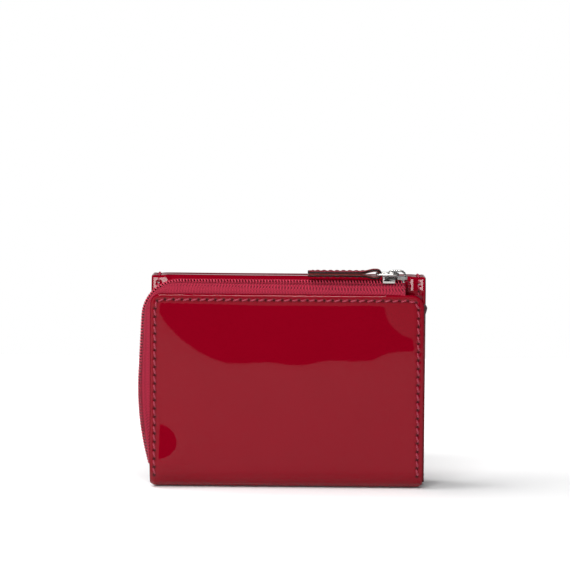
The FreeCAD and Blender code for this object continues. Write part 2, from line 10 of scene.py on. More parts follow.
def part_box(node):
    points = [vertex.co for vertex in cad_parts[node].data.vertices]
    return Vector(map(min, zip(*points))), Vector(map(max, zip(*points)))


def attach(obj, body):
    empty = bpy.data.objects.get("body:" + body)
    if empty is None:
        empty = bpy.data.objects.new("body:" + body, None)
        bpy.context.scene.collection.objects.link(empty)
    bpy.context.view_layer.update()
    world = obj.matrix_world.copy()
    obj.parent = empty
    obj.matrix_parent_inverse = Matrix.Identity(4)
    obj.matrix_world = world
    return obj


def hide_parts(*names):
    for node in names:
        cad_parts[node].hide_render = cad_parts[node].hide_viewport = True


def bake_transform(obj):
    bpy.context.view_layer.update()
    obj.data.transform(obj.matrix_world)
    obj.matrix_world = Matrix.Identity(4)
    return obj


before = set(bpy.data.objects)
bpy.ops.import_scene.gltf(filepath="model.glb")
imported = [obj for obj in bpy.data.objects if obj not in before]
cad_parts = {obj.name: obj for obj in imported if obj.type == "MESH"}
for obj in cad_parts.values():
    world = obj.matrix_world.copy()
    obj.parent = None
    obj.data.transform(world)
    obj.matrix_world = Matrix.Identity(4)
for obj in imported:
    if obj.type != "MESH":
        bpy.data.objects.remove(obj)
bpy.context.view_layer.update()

# Lengths below are in millimetres, in the row's frame; meshes are made in metres.
MM = 0.001


def box_mm(node):
    """Lowest and highest corner of a CAD node, in millimetres."""
    low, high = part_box(node)
    return low / MM, high / MM


COVER_LOW, COVER_HIGH = box_mm("outer_cover")
HALF = COVER_HIGH.x
POCKET_FACE, FRONT_FACE = COVER_LOW.y, COVER_HIGH.y
POCKET_TOP = COVER_HIGH.z
LINING_SHORT = 0.8          # linings end this far below the leather's edge
FRONT_TOP = box_mm("front_panel_lining")[1].z + LINING_SHORT
LEATHER = 1.2
LINING = 0.4
UNDER_LINING = 1.7          # from a leather face to its lining's near side
POCKET_BEND, FRONT_BEND = 8.0, 6.0
ZIP_CORNER, END_CORNER = 4.5, 5.5
FOOT_CORNER = 2.0

BACK_FACE = box_mm("back_panel")[0].y
STRIP_FOOT = box_mm("back_panel")[0].z
FLAP_LOW, FLAP_HIGH = box_mm("flap_leather")
FLAP_FACE, FLAP_END = FLAP_HIGH.y, FLAP_LOW.z
SPINE_TOP = box_mm("spine_leather")[1].z
SPINE_MIDDLE = (BACK_FACE + FLAP_FACE) / 2
BACK_BEND, FLAP_BEND = 6.5, 5.0
FLAP_CORNER = 10.0

CHAIN_TOP = box_mm("zip_teeth_outer")[1].z
CHAIN_Y = (box_mm("zip_tape_outer")[1].y + box_mm("zip_tape_inner")[0].y) / 2
TAPE_END = box_mm("zip_tape_outer")[1].x
CHAIN_CORNER = 16.5
CHAIN_SIDE = -60.8          # x of the sharp corner of the teeth's outer line
CHAIN_BULGE = (-63.7, 29.0)  # where the side run stands out furthest
CHAIN_FOOT = (-57.6, 6.8)
TOOTH_PITCH = 1.27
TOOTH_HEIGHT = 1.1

SNAP = (box_mm("snap_stud")[0] + box_mm("snap_stud")[1]) / 2
STITCH_PITCH = 3.48
HOLE_R = 0.7                # radius of the painted shade in the stitch holes
SHARP = 0.9                 # faces that meet at more than this angle, in radians, keep a crisp edge
BEVEL_ANGLE = 0.6           # edges of blocks and slabs sharper than this, in radians, are rounded
SKEW = (0.31, 0.52, 0.79)   # a direction no bar starts along
RIM_STEPS = [0, 0.06, 0.2, 0.42, 0.7, 1.0]  # grid lines over a rounded edge, as shares of its radius
WELD = 2e-7                 # points closer than this are one, in metres


# Paths and sheets

def unit(vector):
    return vector / np.linalg.norm(vector)


def eased(share):
    """A smooth step from 0 to 1."""
    return share * share * (3 - 2 * share)


def rounded(corners, step=0.25):
    """Points along an open path of (u, v, radius) corners, its bends as arcs."""
    points = [np.array(corners[0][:2], float)]
    for before, here, after in zip(corners, corners[1:], corners[2:]):
        corner = np.array(here[:2], float)
        back = unit(np.array(before[:2]) - corner)
        ahead = unit(np.array(after[:2]) - corner)
        half = math.acos(np.clip(back @ ahead, -1, 1)) / 2
        radius = here[2]
        if radius <= 0:
            points.append(corner)
            continue
        centre = corner + unit(back + ahead) * radius / math.sin(half)
        spoke = corner + back * radius / math.tan(half) - centre
        turn = math.copysign(math.pi - 2 * half, ahead[0] * back[1] - ahead[1] * back[0])
        for angle in np.linspace(0, turn, int(abs(turn) * radius / step) + 3):
            cos, sin = math.cos(angle), math.sin(angle)
            points.append(centre + (cos * spoke[0] - sin * spoke[1], sin * spoke[0] + cos * spoke[1]))
    points.append(np.array(corners[-1][:2], float))
    return np.array(points)


def length_of(points):
    return float(np.linalg.norm(np.diff(points, axis=0), axis=1).sum())


def along(points, spots):
    """Places and outward normals at distances along a path, its direction taken over a short reach."""
    reach = 0.3
    marks = np.concatenate([[0], np.cumsum(np.linalg.norm(np.diff(points, axis=0), axis=1))])

    def place(at):
        return np.stack([np.interp(at, marks, points[:, i]) for i in range(points.shape[1])], -1)

    tangent = place(np.minimum(spots + reach, marks[-1])) - place(np.maximum(spots - reach, 0))
    tangent /= np.linalg.norm(tangent, axis=-1, keepdims=True)
    return place(spots), np.stack([tangent[..., 1], -tangent[..., 0]], -1)


def graded(length, step, fine, open_start=False, open_end=False):
    """Distances from 0 to length, closer together near the rounded edges."""
    rim = fine * np.array(RIM_STEPS)
    first = np.array([0.0]) if open_start else rim
    last = np.array([length]) if open_end else length - rim[::-1]
    count = max(2, int(round((last[0] - first[-1]) / step)))
    middle = np.linspace(first[-1], last[0], count + 1)[1:-1]
    return np.concatenate([first, middle, last])


def grid_faces(rows, cols, start=0, flip=False):
    index = np.arange(rows * cols).reshape(rows, cols) + start
    corners = [index[:-1, :-1], index[:-1, 1:], index[1:, 1:], index[1:, :-1]]
    if flip:
        corners = corners[::-1]
    return np.stack(corners, -1).reshape(-1, 4)


def mesh_object(name, points, faces, material, attributes=None, weld=True):
    """A smooth mesh object from points in millimetres, its faces turned outwards."""
    mesh = bpy.data.meshes.new(name)
    mesh.from_pydata((np.asarray(points, float) * MM).tolist(), [], [list(f) for f in faces])
    for key, values in (attributes or {}).items():
        layer = mesh.attributes.new(key, "FLOAT", "POINT")
        layer.data.foreach_set("value", np.asarray(values, np.float32).ravel())
    work = bmesh.new()
    work.from_mesh(mesh)
    if weld:
        bmesh.ops.remove_doubles(work, verts=work.verts, dist=WELD)
    bmesh.ops.recalc_face_normals(work, faces=work.faces)
    for face in work.faces:
        face.smooth = True
    for edge in work.edges:
        edge.smooth = len(edge.link_faces) != 2 or edge.calc_face_angle() < SHARP
    work.to_mesh(mesh)
    work.free()
    thing = bpy.data.objects.new(name, mesh)
    bpy.context.scene.collection.objects.link(thing)
    mesh.materials.append(material)
    return thing


def layered(name, outer, inner, material, attributes=None):
    """A closed sheet between two grids of points, joined round their borders."""
    rows, cols = outer.shape[:2]
    count = rows * cols
    index = np.arange(count).reshape(rows, cols)
    ring = np.concatenate([index[0], index[1:, -1], index[-1, -2::-1], index[-2:0:-1, 0]])
    after = np.roll(ring, -1)
    rim = np.stack([after, ring, ring + count, after + count], -1)
    faces = np.concatenate([grid_faces(rows, cols), grid_faces(rows, cols, count, True), rim])
    points = np.concatenate([outer.reshape(-1, 3), inner.reshape(-1, 3)])
    return mesh_object(name, points, faces, material, attributes)


def over_width(u, v, w):
    """A section drawn in Y and Z, run along X."""
    return np.stack([w, u, v], -1)


def over_depth(u, v, w):
    """A section drawn in X and Z, run along Y."""
    return np.stack([u, w, v], -1)


def bent_sheet(name, path, low, high, thickness, place, material, step, depth=0.0, radii=(0, 0, 0, 0),
               trim=None, relief=None, holes=None, open_start=False, open_end=False):
    """A sheet that follows a path, from low to high across it, with rounded edges.

    step is the grid's pitch across and along the path. radii are those of the corners start-low,
    start-high, end-low and end-high. trim(u, v) narrows both sides. relief(u, v, w, edge, run) lifts the
    outer face and the whole sheet, and holes(u, v, w, run) gives the painted shade in its stitch holes.
    """
    total = length_of(path)
    fine = thickness / 2
    spots = graded(total, step[1], fine, open_start, open_end)[:, None]
    shares = graded(high - low, step[0], fine)[None, :] / (high - low)
    at, normal = along(path, spots[:, 0])
    at, normal = at[:, None, :], normal[:, None, :]
    ends = (spots, total - spots)
    inset = np.zeros((2, len(spots), 1))
    for i, radius in enumerate(radii):
        if radius > 0:
            short = np.clip(radius - ends[i // 2], 0, radius)
            inset[i % 2] = np.maximum(inset[i % 2], radius - np.sqrt(radius ** 2 - short ** 2))
    narrow = trim(at[..., 0], at[..., 1]) if trim else 0
    left = low + np.maximum(inset[0], narrow)
    right = high - np.maximum(inset[1], narrow)
    across = left + (right - left) * shares
    sides = (across - low - narrow, high - narrow - across)
    edge = np.minimum(*sides)
    for is_open, end in zip((open_start, open_end), ends):
        if not is_open:
            edge = np.minimum(edge, end)
    for i, radius in enumerate(radii):
        side, end = sides[i % 2], ends[i // 2] + 0 * sides[0]
        near = (side < radius) & (end < radius)
        edge = np.where(near, np.minimum(edge, radius - np.hypot(radius - side, radius - end)), edge)
    edge = np.maximum(edge, 0)
    round_off = fine * (1 - np.sqrt(1 - (1 - np.clip(edge / fine, 0, 1)) ** 2))
    face, body = relief(at[..., 0], at[..., 1], across, edge, spots) if relief else (0, 0)
    tops = -depth - round_off + face + body
    bottoms = -depth - thickness + round_off + body
    grids = [place(at[..., 0] + normal[..., 0] * off, at[..., 1] + normal[..., 1] * off, across)
             for off in (tops, bottoms)]
    rim = 1 - np.clip(edge / fine, 0, 1)
    level = np.clip(round_off / thickness, 0, 1)
    # Painted shade: the mask from holes darkens the face in its stitch holes.
    hole = holes(at[..., 0], at[..., 1], across, spots) if holes else 0 * rim
    attributes = {"rim": np.concatenate([rim.ravel()] * 2),
                  "hole": np.concatenate([hole.ravel(), 0 * hole.ravel()]),
                  "level": np.concatenate([level.ravel(), 1 - level.ravel()])}
    return layered(name, *grids, material, attributes)


def ring_faces(count, sides, closed=False):
    """Faces through count rings of points, capped at both ends unless the last ring meets the first."""
    faces = []
    for i in range(count if closed else count - 1):
        j = (i + 1) % count
        for k in range(sides):
            m = (k + 1) % sides
            faces.append((i * sides + k, i * sides + m, j * sides + m, j * sides + k))
    if not closed:
        faces.append(tuple(range(sides))[::-1])
        faces.append(tuple(range((count - 1) * sides, count * sides)))
    return faces


def tube(points, radii, sides=8, closed=False):
    """Points and faces of a round bar along a line of points."""
    points = np.asarray(points, float)
    count = len(points)
    if closed:
        tangents = np.roll(points, -1, 0) - np.roll(points, 1, 0)
    else:
        tangents = np.gradient(points, axis=0)
    tangents /= np.linalg.norm(tangents, axis=1, keepdims=True)
    side = np.cross(tangents[0], SKEW)
    angles = np.arange(sides) * 2 * math.pi / sides
    rings = []
    for at, tangent, radius in zip(points, tangents, np.broadcast_to(radii, count)):
        side = unit(side - tangent * (side @ tangent))
        other = np.cross(tangent, side)
        rings.append(at + radius * (np.outer(np.cos(angles), side) + np.outer(np.sin(angles), other)))
    return np.concatenate(rings), ring_faces(count, sides, closed)


def joined(name, parts, material, attributes=None):
    """One object from several closed pieces given as points and faces."""
    points, faces, start = [], [], 0
    for part_points, part_faces in parts:
        points.append(part_points)
        faces += [tuple(i + start for i in face) for face in part_faces]
        start += len(part_points)
    return mesh_object(name, np.concatenate(points), faces, material, attributes, weld=False)


def block(low, high, bevel, segments=3):
    """Points and faces of a box with rounded edges."""
    work = bmesh.new()
    for vert in bmesh.ops.create_cube(work, size=1.0)["verts"]:
        vert.co = Vector([a if at < 0 else b for at, a, b in zip(vert.co, low, high)])
    return bevelled(work, bevel, segments)


def slab(outline, z0, z1, bevel):
    """Points and faces of an upright prism over an outline in X and Y, its edges rounded."""
    work = bmesh.new()
    rings = [[work.verts.new((x, y, z)) for x, y in outline] for z in (z0, z1)]
    work.faces.new(rings[0][::-1])
    work.faces.new(rings[1])
    for i in range(len(outline)):
        j = (i + 1) % len(outline)
        work.faces.new((rings[0][i], rings[0][j], rings[1][j], rings[1][i]))
    return bevelled(work, bevel, 3)


def bevelled(work, bevel, segments):
    sharp = [e for e in work.edges if len(e.link_faces) == 2 and e.calc_face_angle() > BEVEL_ANGLE]
    bmesh.ops.bevel(work, geom=sharp, offset=bevel, segments=segments, affect="EDGES", profile=0.5)
    work.verts.index_update()
    points = np.array([v.co for v in work.verts])
    faces = [tuple(v.index for v in f.verts) for f in work.faces]
    work.free()
    return points, faces


def turned(profile, closed=False):
    """Points and faces of a shape turned about the press stud's axis, from a profile of (radius, y)."""
    sides = 48
    angles = np.arange(sides) * 2 * math.pi / sides
    around = np.stack([np.cos(angles), 0 * angles, np.sin(angles)], -1)
    points = [np.array((SNAP.x, y, SNAP.z)) + radius * around for radius, y in profile]
    return np.concatenate(points), ring_faces(len(profile), sides, closed)


# Materials

class Field:
    """A number or colour that varies over a surface: a node's output, with arithmetic."""

    def __init__(self, owner, socket):
        self.owner, self.socket = owner, socket

    def apply(self, operation, other=0.0, swapped=False):
        a, b = (other, self) if swapped else (self, other)
        return node(self.owner, "ShaderNodeMath", 0, {"operation": operation}, i0=a, i1=b)

    def __add__(self, other):
        return self.apply("ADD", other)

    def __sub__(self, other):
        return self.apply("SUBTRACT", other)

    def __rsub__(self, other):
        return self.apply("SUBTRACT", other, swapped=True)

    def __mul__(self, other):
        return self.apply("MULTIPLY", other)

    def __abs__(self):
        return self.apply("ABSOLUTE")

    def sine(self, period):
        """A wave of the given length, between -1 and 1."""
        return (self * (2 * math.pi / period)).apply("SINE")

    def clamped(self):
        """The same number, kept between 0 and 1 by the node that makes it."""
        self.socket.node.use_clamp = True
        return self

    def ramp(self, low, high, least=0.0, most=1.0):
        """least below low, most above high, and even in between."""
        return node(self.owner, "ShaderNodeMapRange", i0=self, i1=low, i2=high, i3=least, i4=most)

    def mix(self, a, b):
        """Colour a where this number is 0, colour b where it is 1."""
        return node(self.owner, "ShaderNodeMix", 2, {"data_type": "RGBA"}, i0=self, i6=a, i7=b)


def plug(value, owner, socket):
    """Give a socket a number or a colour, or link it to a field."""
    if isinstance(value, Field):
        owner.node_tree.links.new(value.socket, socket)
    else:
        socket.default_value = (*value, 1) if isinstance(value, tuple) else value


def node(owner, kind, output=0, settings=None, **inputs):
    """A new node's output; its inputs are given by name with _ for a space, or as i and a number."""
    made = owner.node_tree.nodes.new(kind)
    for key, value in (settings or {}).items():
        setattr(made, key, value)
    for key, value in inputs.items():
        plug(value, owner, made.inputs[int(key[1:]) if key[1:].isdigit() else key.replace("_", " ")])
    return Field(owner, made.outputs[output])


def dress(material, **sockets):
    """Set or link sockets of the material's shader, named with _ for a space."""
    shader = material.node_tree.nodes["Principled BSDF"]
    for key, value in sockets.items():
        plug(value, material, shader.inputs[key.replace("_", " ")])


def new_material(name, color, roughness, **sockets):
    """A material with one Principled shader."""
    material = bpy.data.materials.new(name)
    material.use_nodes = True
    dress(material, Base_Color=color, Roughness=roughness, **sockets)
    return material


def object_place(owner):
    """The object's own coordinates, in metres."""
    return node(owner, "ShaderNodeTexCoord", "Object")


def noise(owner, scale, detail=2.0):
    return node(owner, "ShaderNodeTexNoise", "Fac", Vector=object_place(owner), Scale=scale, Detail=detail)


def bump(material, height, distance, strength=1.0, socket="Normal"):
    """Bump by a height from 0 to 1 over a distance in millimetres."""
    made = node(material, "ShaderNodeBump", Strength=strength, Distance=distance * MM, Height=height)
    dress(material, **{socket: made})


def attribute(material, name):
    return node(material, "ShaderNodeAttribute", "Fac", {"attribute_name": name})


def patent_leather(name, color, deep, painted=False):
    """Lacquered leather: a soft red ground under a hard clear film, with painted shade in its stitch holes;
    its cut edges may be painted.
    """
    material = new_material(name, color, 0.42, Coat_Weight=1.0, Coat_Roughness=0.025, Coat_IOR=1.27,
                            Specular_IOR_Level=0.0)
    # Painted shade: nearly black in the stitch holes, where the hole attribute is 1.
    hole_shade, edge_paint = (0.012, 0.0, 0.001), (0.09, 0.001, 0.005)
    ground = attribute(material, "hole").mix(noise(material, 55, 3.0).mix(color, deep), hole_shade)
    if painted:
        ground = ((attribute(material, "rim") - 0.4) * 4.0).clamped().mix(ground, edge_paint)
    dress(material, Base_Color=ground)
    bump(material, noise(material, 260), 0.006, 0.6, "Coat Normal")
    bump(material, noise(material, 900, 3.0), 0.02, 0.5)
    return material


def smooth_leather(name, color, deep):
    """Semi-matte leather with a fine pebble."""
    material = new_material(name, color, 0.45, Specular_IOR_Level=0.35)
    pebble = node(material, "ShaderNodeTexVoronoi", "Distance", {"feature": "SMOOTH_F1"},
                  Vector=object_place(material), Scale=900)
    dress(material, Base_Color=noise(material, 90, 4.0).mix(color, deep),
          Roughness=noise(material, 400).ramp(0.0, 1.0, 0.38, 0.55))
    bump(material, pebble, 0.05, 0.5)
    return material


def woven(name, color, deep):
    """Plain-woven lining: fine threads crossing in X and Z."""
    pitch = 0.35
    material = new_material(name, color, 0.75, Sheen_Weight=0.25, Sheen_Roughness=0.4,
                            Specular_IOR_Level=0.25)
    x, y, z = axes(object_place(material))
    warp, weft = (abs(value.sine(2 * pitch * MM)) for value in (x, z + y))
    weave = warp * weft
    dress(material, Base_Color=(weave * 0.6 + noise(material, 300, 3.0) * 0.4).mix(deep, color))
    bump(material, weave, 0.08, 0.7)
    return material


def axes(place):
    """The X, Y and Z of a vector."""
    split = node(place.owner, "ShaderNodeSeparateXYZ", Vector=place).socket.node
    return [Field(place.owner, socket) for socket in split.outputs]


def zip_tape_material():
    """Herringbone-woven tape with a corded line near the panel, with painted shade in its weave's hollows and
    under the coil; uses the run and reach along it.
    """
    light, dark = (0.40, 0.021, 0.050), (0.02, 0.0, 0.002)
    material = new_material("zip_tape_weave", light, 0.7, Sheen_Weight=0.08, Sheen_Roughness=0.35,
                            Specular_IOR_Level=0.1)
    run, reach = attribute(material, "run"), attribute(material, "reach")
    rib_pitch, lane_width, cord_reach, cord_half, coil_reach, coil_half = 1.15, 0.9, 5.1, 0.75, 2.75, 0.6
    slant = run * (1 / rib_pitch) + reach.apply("PINGPONG", lane_width) * 0.75
    rib = abs(slant.sine(2.0)) * 0.7 + 0.2
    tick = ((run + reach * 0.45).sine(TOOTH_PITCH) + 1.0) * 0.5
    cord = (1.0 - abs(reach - cord_reach) * (1 / cord_half)).clamped()
    cord = (cord * 3.0).apply("MINIMUM", 1.0)
    height = node(material, "ShaderNodeMix", i0=cord, i2=rib, i3=tick)
    # Painted shade under the coil's loops: dark dots along the tape just below the chain, one to each loop.
    coil_shade = (1.3 - abs(reach - coil_reach) * (1 / coil_half)).clamped()
    height = height * (1.0 - (coil_shade * (run.sine(TOOTH_PITCH) + 0.9)).clamped())
    # The colour follows the weave's height: its woven pattern, with painted shade in its hollows.
    tone = (height * 0.75 + noise(material, 2200) * 0.35).clamped()
    dress(material, Base_Color=tone.mix(dark, light))
    bump(material, height, 0.12, 0.8)
    return material


def thread_material(name, color, deep):
    """Twisted thread: slanting plies with a little shine."""
    material = new_material(name, color, 0.3, Sheen_Weight=0.05, Sheen_Roughness=0.3, Specular_IOR_Level=0.3)
    ply = node(material, "ShaderNodeTexWave", "Fac", {"bands_direction": "DIAGONAL"},
               Vector=object_place(material), Scale=900.0, Distortion=1.0)
    dress(material, Base_Color=ply.mix(deep, color))
    bump(material, ply, 0.06, 0.6)
    return material


def coil_material():
    """Dyed nylon coil, with painted shade on its head and its inner side."""
    material = new_material("zip_coil_nylon", (0.36, 0.012, 0.04), 0.38, Specular_IOR_Level=0.35)
    lit = noise(material, 500).mix((0.55, 0.05, 0.09), (0.40, 0.02, 0.05))
    # Painted shade: the loops darken on their head and inner side, by the inside attribute.
    dress(material, Base_Color=attribute(material, "inside").mix(lit, (0.20, 0.006, 0.022)))
    bump(material, noise(material, 1800), 0.03, 0.4)
    return material


def metal_material():
    """Polished nickel plate with faint wear, and painted shade in its grooves."""
    material = new_material("polished_nickel", (0.56, 0.55, 0.53), 0.06, Metallic=1.0)
    bright = noise(material, 350, 3.0).mix((0.56, 0.545, 0.52), (0.36, 0.35, 0.335))
    # Painted shade: near black in the arch's grooves, where its attribute is 1.
    dress(material, Base_Color=attribute(material, "groove_shade").mix(bright, (0.02, 0.02, 0.02)),
          Roughness=noise(material, 700, 4.0).ramp(0.0, 1.0, 0.036, 0.102))
    bump(material, noise(material, 1500), 0.01, 0.3)
    return material


def board_material():
    """Grey-brown bonded board."""
    material = new_material("stiffener_board", (0.42, 0.36, 0.28), 0.9)
    dress(material, Base_Color=noise(material, 1200, 5.0).mix((0.48, 0.42, 0.33), (0.30, 0.25, 0.19)))
    bump(material, noise(material, 2500, 3.0), 0.05, 0.5)
    return material


def pull_material():
    """The pull's leather: lacquered faces, and cut edges with a dark film line over red-brown fibre."""
    face, fibre, ink = (0.24, 0.003, 0.012), (0.20, 0.035, 0.025), (0.006, 0.003, 0.003)
    material = new_material("pull_leather", face, 0.4, Coat_Weight=0.4, Coat_Roughness=0.08, Coat_IOR=1.3,
                            Specular_IOR_Level=0.1)
    grain = noise(material, 2600, 4.0)
    film = ((0.70 - attribute(material, "level") + grain * 0.12) * 9.0).clamped()
    edge = ((attribute(material, "rim") - 0.25) * 5.0).clamped()
    cut = film.mix(grain.mix(fibre, (0.09, 0.012, 0.012)), ink)
    dress(material, Base_Color=edge.mix(face, cut), Roughness=edge.ramp(0.0, 1.0, 0.35, 0.8))
    bump(material, grain, 0.05, 0.5)
    return material


PATENT = patent_leather("patent_leather_red", (0.196, 0.0003, 0.0080), (0.181, 0.0002, 0.0068))
STRIP_PATENT = patent_leather("patent_leather_painted_edge", (0.200, 0.0003, 0.0080),
                              (0.184, 0.0002, 0.0068), True)
SLOT_LEATHER = smooth_leather("card_slot_leather", (0.30, 0.008, 0.022), (0.22, 0.005, 0.015))
LINING_CLOTH = woven("lining_cloth", (0.20, 0.014, 0.028), (0.09, 0.005, 0.011))
# Near-black cloth for the pockets' end walls: painted shade, standing for the dark gap between the panels.
PAINTED_SHADE_CLOTH = woven("wall_cloth_painted_shade", (0.045, 0.004, 0.009), (0.02, 0.001, 0.003))
TAPE_WEAVE = zip_tape_material()
COIL = coil_material()
THREAD = thread_material("sewing_thread", (0.42, 0.05, 0.09), (0.16, 0.004, 0.014))
PULL_THREAD = thread_material("pull_thread", (0.24, 0.025, 0.045), (0.10, 0.006, 0.014))
NICKEL = metal_material()
BOARD = board_material()
PULL_LEATHER = pull_material()


def settle(piece, body, slot, *nodes):
    """Let a piece ride on a body and stand for CAD nodes; its slot is not used."""
    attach(piece, body)
    if nodes:
        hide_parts(*nodes)
    return piece


def metal(name, parts, body, cad, attributes=None):
    return settle(joined(name, parts, NICKEL, attributes), body, "bright_metal", cad)


# Sewing

# Places along a thread between two holes, as shares of the way, and its thickness there
THREAD_RUN = np.array([0.16, 0.21, 0.28, 0.39, 0.5, 0.61, 0.72, 0.79, 0.84])
THREAD_BODY = np.array([0.7, 0.9, 1.0, 1.05, 1.0, 1.05, 1.0, 0.9, 0.7])
THREAD_SPAN = 0.68
FAR = 1e9


class Seam:
    """A row of thread stitches: its holes, the outward direction at each, and the pieces of thread."""

    def __init__(self, holes, outward):
        self.holes = holes
        self.outward = np.broadcast_to(np.asarray(outward, float), holes.shape)

    def thread(self, radius=0.36, slant=-0.5, rise=0.14, sink=0.6):
        parts = []
        for i, (a, b) in enumerate(zip(self.holes, self.holes[1:])):
            out = unit(self.outward[i] + self.outward[i + 1])
            side = unit(np.cross(out, b - a)) * slant
            run = THREAD_RUN[:, None]
            lift = rise - (rise + sink) * np.abs((2 * run - 1) / THREAD_SPAN) ** 3.5
            line = a + (b - a) * run + out * lift + side * (1 - 2 * run)
            parts.append(tube(line, radius * THREAD_BODY))
        return parts

    def dents(self, x, z):
        """How far the leather's face sinks near a row on a panel, and where painted shade darkens the row's
        holes.
        """
        groove, hole, width, spread = 0.16, 0.28, 1.0, 0.75
        sunk = np.zeros(np.broadcast(x, z).shape)
        x, z = np.broadcast_to(x, sunk.shape), np.broadcast_to(z, sunk.shape)
        row = self.holes[:, [0, 2]]
        low, high = row.min(0) - 3, row.max(0) + 3
        near = (x > low[0]) & (x < high[0]) & (z > low[1]) & (z < high[1])
        spots = np.stack([x[near], z[near]], -1)
        gaps = np.full(len(spots), FAR)
        holes = np.full(len(spots), FAR)
        for a, b in zip(row, row[1:]):
            span = b - a
            share = np.clip(((spots - a) @ span) / (span @ span), 0, 1)
            gaps = np.minimum(gaps, np.linalg.norm(spots - a - share[:, None] * span, axis=1))
        for at in row:
            holes = np.minimum(holes, np.linalg.norm(spots - at, axis=1))
        sunk[near] = groove * np.exp(-(gaps / width) ** 2) + hole * np.exp(-(holes / spread) ** 2)
        # Painted shade in the holes.
        hole_shade = np.zeros(sunk.shape)
        hole_shade[near] = np.exp(-(holes / HOLE_R) ** 4)
        return sunk, hole_shade


def row(points, outward, pitch=STITCH_PITCH):
    """A seam with evenly spaced holes along a line of points."""
    marks = np.concatenate([[0], np.cumsum(np.linalg.norm(np.diff(points, axis=0), axis=1))])
    spots = np.linspace(0, marks[-1], int(marks[-1] / pitch) + 1)
    return Seam(np.stack([np.interp(spots, marks, points[:, i]) for i in range(3)], -1), outward)


def on_face(path, y):
    """A path in X and Z as 3-D points at a depth y."""
    return np.stack([path[:, 0], np.full(len(path), y), path[:, 1]], -1)


def sew(name, seams, body, slot_name, nodes, material=THREAD, **options):
    parts = [part for seam in seams for part in seam.thread(**options)]
    return settle(joined(name, parts, material), body, slot_name, *nodes)


# Outer cover

POCKET_BULGE, FRONT_BULGE = 2.0, 0.8     # how far the panels' middles stand out
POCKET_FOOT, FRONT_FOOT = 5.0, 4.0       # z where the panels' swelling starts
FOLD_TOP = 4.0                           # below this the bottom fold keeps its place
ROW_LEFT, ROW_RIGHT, ROW_TOP = 1.9, 2.4, 2.5  # from a panel's edges to its stitches
ROW_FOOT = 5.5                           # z where the stitches start


def panel_row(y, left, right, start, turn, radii):
    """Stitches on a panel's face: along its left side from z start, across at z turn, and back."""
    path = rounded([(left, start, 0), (left, turn, radii[0]), (right, turn, radii[1]), (right, start, 0)])
    return row(on_face(path, y), (0, math.copysign(1, y), 0))


pocket_row = panel_row(POCKET_FACE, -HALF + ROW_LEFT, HALF - ROW_RIGHT, ROW_FOOT, POCKET_TOP - ROW_TOP,
                       (ZIP_CORNER - ROW_LEFT, END_CORNER - ROW_RIGHT))
front_row = panel_row(FRONT_FACE, -HALF + ROW_LEFT, HALF - ROW_LEFT, ROW_FOOT, FRONT_TOP - ROW_TOP,
                      [END_CORNER - ROW_LEFT] * 2)


def swell(x, z, low, high):
    """A pillow from 0 at the panel's edges to 1 in its middle."""
    middle, reach = (low + high) / 2, (high - low) / 2
    return np.clip(1 - (x / HALF) ** 2, 0, 1) * np.clip(1 - ((z - middle) / reach) ** 2, 0, 1)


def ripple(x, z):
    """Slow unevenness of stretched leather."""
    return (0.035 * np.sin(x / 9.0 + 0.7) * np.sin(z / 11.0 + 0.3)
            + 0.02 * np.sin(x / 4.7 + z / 8.3 + 1.9))


def mound(x, z, place, spread, height):
    """A smooth rise about a place."""
    return height * np.exp(-((x - place[0]) / spread[0]) ** 2 - ((z - place[1]) / spread[1]) ** 2)


def quirks(x, z):
    """Where this panel isn't even: its end corner slumps, and the foot of the zip pushes it out."""
    slump = mound(x, z, place=(HALF + 1, POCKET_TOP - 1.5), spread=(13.2, 12.5), height=-1.5)
    push = mound(x, z, place=(-HALF + 4, 8.0), spread=(13, 14), height=1.8)
    return slump + push * np.clip((z - FOLD_TOP) / 6, 0, 1)


def pocket_lift(x, z):
    return POCKET_BULGE * swell(x, z, POCKET_FOOT, POCKET_TOP) + quirks(x, z)


def front_lift(x, z):
    return FRONT_BULGE * swell(x, z, FRONT_FOOT, FRONT_TOP)


def rolled(edge, depth, reach):
    """How far a sheet's face drops towards its edge."""
    return depth * np.clip(1 - edge / reach, 0, 1) ** 2


def cover_relief(y, z, x, edge, run):
    """The cover's face and body lift; y tells the pocket side from the front."""
    pocket = y < 0
    body = np.where(pocket, pocket_lift(x, z), front_lift(x, z))
    sunk = np.where(pocket, pocket_row.dents(x, z)[0], front_row.dents(x, z)[0])
    upright = np.clip((z - FOOT_CORNER) / 6.0, 0, 1)
    calm = np.clip(edge / 3.0, 0, 1) * upright
    return ripple(x, z) * calm - sunk * upright - rolled(edge, 0.5, 1.6), body


# Painted shade in the stitch holes of the pocket and front panels.
def cover_hole_shade(y, z, x, run):
    return np.where(y < 0, pocket_row.dents(x, z)[1], front_row.dents(x, z)[1])


def foot_trim(y, z):
    short = np.clip(FOOT_CORNER - z, 0, FOOT_CORNER)
    return FOOT_CORNER - np.sqrt(FOOT_CORNER ** 2 - short ** 2)


def make_cover():
    path = rounded([(POCKET_FACE, POCKET_TOP, 0), (POCKET_FACE, 0, POCKET_BEND),
                    (FRONT_FACE, 0, FRONT_BEND), (FRONT_FACE, FRONT_TOP, 0)])
    cover = bent_sheet("cover_leather", path, -HALF, HALF, LEATHER, over_width, PATENT, (0.6, 0.62),
                       radii=(ZIP_CORNER, END_CORNER, END_CORNER, END_CORNER), trim=foot_trim,
                       relief=cover_relief, holes=cover_hole_shade)
    settle(cover, "body", "patent_leather", "outer_cover")
    for seam, lift, side in ((pocket_row, pocket_lift, -1), (front_row, front_lift, 1)):
        seam.holes[:, 1] += side * lift(seam.holes[:, 0], seam.holes[:, 2])
    sew("cover_thread", [pocket_row, front_row], "body", "thread", ["cover_stitching"])


# Back panel, spine and flap: paths run over the strip with its outer side on their left

